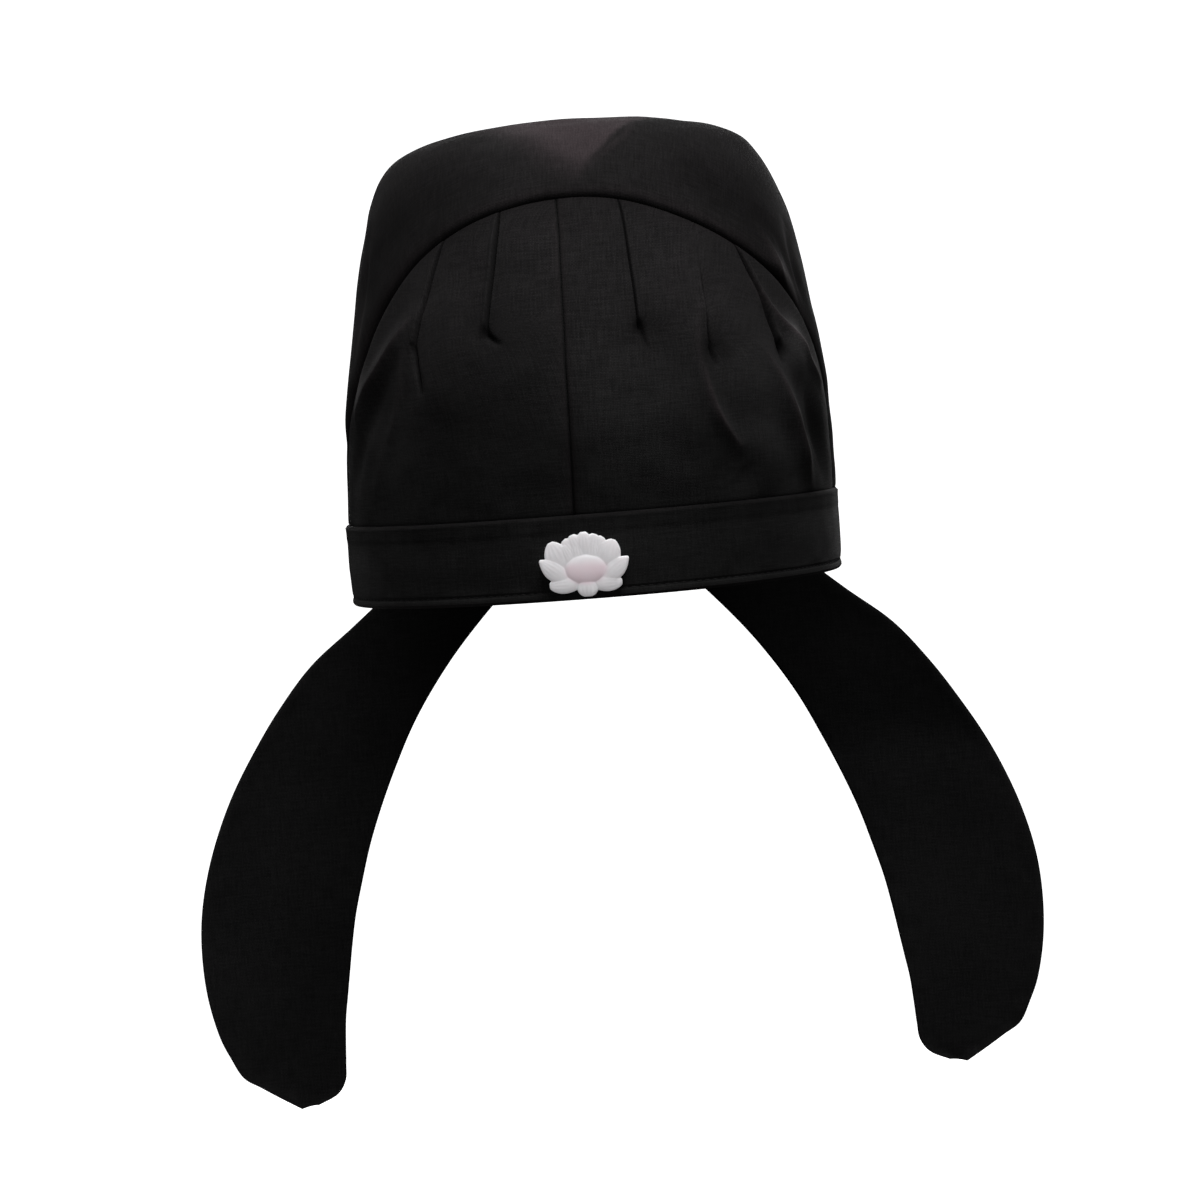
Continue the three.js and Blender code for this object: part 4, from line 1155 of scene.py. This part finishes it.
def tail(sign):
    u = spaced(TAIL_WIDE, TAIL_SPACING, (0, TAIL_WIDE)) / TAIL_WIDE
    v = (spaced(TAIL_LONG, TAIL_SPACING, (0, TAIL_LONG)) / TAIL_LONG)[:, None]
    row = read_table(TAIL, {name: column[-1] for name, column in TAIL.items()}, v)
    x, z = (mix(row[f"inner_{axis}"], row[f"outer_{axis}"], u) for axis in "xz")
    width = np.hypot(row["outer_x"] - row["inner_x"], row["outer_z"] - row["inner_z"])
    from_edge = np.minimum(np.minimum(u, 1 - u) * width, np.minimum(v, 1 - v) * TAIL_LONG)
    depth = TAIL_HOLLOW * np.sin((math.pi / 2) * np.minimum(v / TAIL_HOLLOW_FULL_AT, 1))
    y = TAIL_BACK - TAIL_SWEEP * x**2 + depth * 4 * u * (1 - u)
    sway = TAIL_SWAY * (1 - smooth(TAIL_SWAY_TO[sign], TAIL_SWAY_FROM, z))
    flat = stacked(sign * x + sway, 0.0, z)
    middle = y + TAIL_CLOTH / 2
    middle += TAIL_UNEVEN * soft_noise(flat, 38, 31 + sign) * smooth(2, 12, from_edge)
    puff = TAIL_CLOTH / 2 + TAIL_RIDGE * bump(from_edge - 2.6, 1.6)
    puff += TAIL_PUCKER * soft_noise(flat, 9, 21 + sign) * bump(from_edge - 3, 3.5)
    puff *= np.sqrt(1 - (1 - np.clip(from_edge / TAIL_EDGE_ROUND, 0, 1)) ** 2)
    outer, inner = (flat + stacked(0.0, middle + off, 0.0) for off in (puff, -puff))
    outer, inner, flat, from_edge = (a[:, ::sign] for a in (outer, inner, flat, from_edge))
    wear_and_highlight = TAIL_WEAR * bump(from_edge - 0.5, 1.0)
    # Painted shadow at the roots and painted light on each tail.
    tone = TAIL_PAINTED_LIGHT[sign] + TAIL_ROOT_PAINTED_SHADOW[sign] * smooth(TAIL_SHADOW_FROM, TAIL_SHADOW_TO, flat[..., 2])
    node = "tail_left" if sign > 0 else "tail_right"
    piece = add_wall(node, "tail_cloth", outer, inner, (flat[..., 0], flat[..., 2]), wear_and_highlight, tone)


# -------- lotus

LOTUS_GAP = 0.3
LOTUS_AT = (1.0, BODY["front"][0] - BAND_PROUD - LOTUS_GAP, 11.4)
# A plate with a rounded edge under the petals, and the bowl in front of them.
LOTUS_PLATE = {"half_width": 10.5, "half_height": 7.9, "depth": 1.6, "z": 1.0, "power": 0.12}
LOTUS_BOWL = {"half_width": 7.2, "half_height": 5.1, "depth": 2.5, "z": -1.6, "power": 0.25}
DOME_SIDES = 96
DOME_RINGS = 24
PETAL_END = 0.02
PETAL_FULLEST = 1.15
# Petals in layers from the back: where each starts, the way it points (degrees from upright,
# clockwise in the front view), its length and width, how far its edge stands off the plate,
# how much it is crowned, and how pointed it is.
PETALS = columns(
    "x z turn length width thick lift point",
    (0, 0, -39, 10.7, 5.8, 0.6, 0.9, 0.5),
    (0, 0, -22.4, 10.6, 5.8, 0.6, 1, 0.5),
    (0, 0, -0.6, 10.6, 5.8, 0.6, 1.1, 0.5),
    (0, 0, 20.7, 10.3, 5.8, 0.6, 1, 0.5),
    (0, 0, 36, 10.5, 5.8, 0.6, 0.9, 0.5),
    (-6.6, -3, -22, 11.8, 7.8, 0.6, 1.1, 0.62),
    (5.2, -3.2, 21.5, 11.5, 7.8, 0.7, 1.1, 0.62),
    (-4.4, -6.5, -50, 13.8, 6.2, 0.7, 1.3, 0.9),
    (3.5, -7, 50.7, 13.6, 6.2, 0.7, 1.3, 0.9),
    (-1.2, -6, -91, 11.1, 5.7, 0.7, 1.2, 0.5),
    (0.5, -6.2, 91.5, 11, 5.6, 0.7, 1.2, 0.5),
    (0.1, -4, 180, 6.5, 6.8, 0.8, 1.3, 0.4),
    (-3.4, -1, -24, 8.2, 4.6, 0.3, 1.35, 0.6),
    (3.4, -1, 24, 8.2, 4.6, 0.3, 1.35, 0.6),
    (-1.5, -1, -8, 8.3, 4.8, 0.3, 1.4, 0.6),
    (1.5, -1, 8, 8.3, 4.8, 0.3, 1.4, 0.6),
)
PETAL_RINGS = 28
PETAL_SIDES = 24
PETAL_RIBS = 5
PETAL_RIB_DEPTH = 0.05
LOTUS_VOXEL = 0.16
LOTUS_SOFTENING = 5
HOLLOW_PASSES = 30


def petal_shell(row):
    """One petal as a closed shell: a crowned, faintly ribbed leaf that stands up from the plate."""
    along = mix(PETAL_END, 1 - PETAL_END, np.linspace(0, 1, PETAL_RINGS + 1))[:, None]
    breadth = np.sin(math.pi * along**PETAL_FULLEST) ** row.point
    turn = math.pi * np.linspace(0, 1, PETAL_SIDES + 1)
    # the first and last points lie on the plate, under the petal's edges
    side = np.pad(np.cos(turn), 1, "edge")
    raised, crowned = np.pad(np.ones(len(turn)), 1), np.pad(np.sin(turn), 1)
    rib = np.cos(math.pi * PETAL_RIBS * side) * raised * smooth(0.3, 0.8, along)
    off = row.lift * raised + (row.thick * crowned + PETAL_RIB_DEPTH * rib) * breadth
    across, up = row.width / 2 * breadth * side, row.length * along
    sin, cos = math.sin(math.radians(row.turn)), math.cos(math.radians(row.turn))
    points = stacked(row.x + across * cos + up * sin, -off, row.z - across * sin + up * cos)
    rows, cols = off.shape
    ends = [list(range(cols)), list(range(rows * cols - 1, (rows - 1) * cols - 1, -1))]
    return points.reshape(-1, 3), grid_quads(rows, cols, wrap=True)[:, ::-1].tolist() + ends


def dome_shell(half_width, half_height, depth, z, power):
    """A flat-backed dome; a small power makes it a disc with a rounded edge."""
    around = turns_of(DOME_SIDES)
    share = np.sin(np.linspace(0, math.pi / 2, DOME_RINGS + 1))[1:, None]
    rise = depth * (1 - share**2) ** power
    up = z + half_height * share * np.sin(around)
    points, faces = fan((0, -depth, z), stacked(half_width * share * np.cos(around), -rise, up))
    return points, [*faces, list(range(len(points) - DOME_SIDES, len(points)))]


def joined_shells(shells):
    """Points, polygons and edges of closed shells that are merged into one skin and softened."""
    points, faces = [], []
    for shell_points, shell_faces in shells:
        faces += [[len(points) + corner for corner in face] for face in shell_faces]
        points += shell_points.tolist()
    rough = bpy.data.meshes.new("lotus_shells")
    rough.from_pydata(points, [], faces)
    carving = link_object("lotus_shells", rough)
    remesh = carving.modifiers.new("join", "REMESH")
    remesh.mode = "VOXEL"
    remesh.voxel_size = LOTUS_VOXEL
    carving.modifiers.new("soften", "SMOOTH").iterations = LOTUS_SOFTENING
    joined = carving.evaluated_get(bpy.context.evaluated_depsgraph_get()).to_mesh()
    at = np.array([vertex.co for vertex in joined.vertices], float)
    edges = np.array([edge.vertices for edge in joined.edges])
    polygons = [tuple(polygon.vertices) for polygon in joined.polygons]
    bpy.data.objects.remove(carving)
    bpy.data.meshes.remove(rough)
    return at, polygons, edges


def lotus():
    shells = [petal_shell(row) for row in each_row(PETALS)]
    shells += [dome_shell(**LOTUS_PLATE), dome_shell(**LOTUS_BOWL)]
    at, polygons, edges = joined_shells(shells)
    # how deep each place lies below its surroundings, from depths averaged over neighbours
    depth = near = -at[:, 1]
    count = np.maximum(np.bincount(edges.ravel(), minlength=len(at)), 1)
    for _ in range(HOLLOW_PASSES):
        total = np.bincount(edges[:, 0], near[edges[:, 1]], len(at))
        near = (total + np.bincount(edges[:, 1], near[edges[:, 0]], len(at))) / count
    # The hollows get painted shade.
    hollow = smooth(0.02, 0.35, near - depth)
    oval = np.hypot(
        at[:, 0] / LOTUS_BOWL["half_width"], (at[:, 2] - LOTUS_BOWL["z"]) / LOTUS_BOWL["half_height"]
    )
    pink = (1 - smooth(0.75, 1.15, oval)) * (1 - smooth(-1.5, 2.5, at[:, 2]))
    tints = {"bowl": pink, "hollow": hollow}
    add_piece("lotus_carving", "carved_resin", at + LOTUS_AT, polygons, tints, "lotus_ornament")


for side in ("left", "right"):
    front_panel(side)
crown()
band = headband()
hem = hem_stitching()
for sign in (1, -1):
    tail(sign)
lotus()
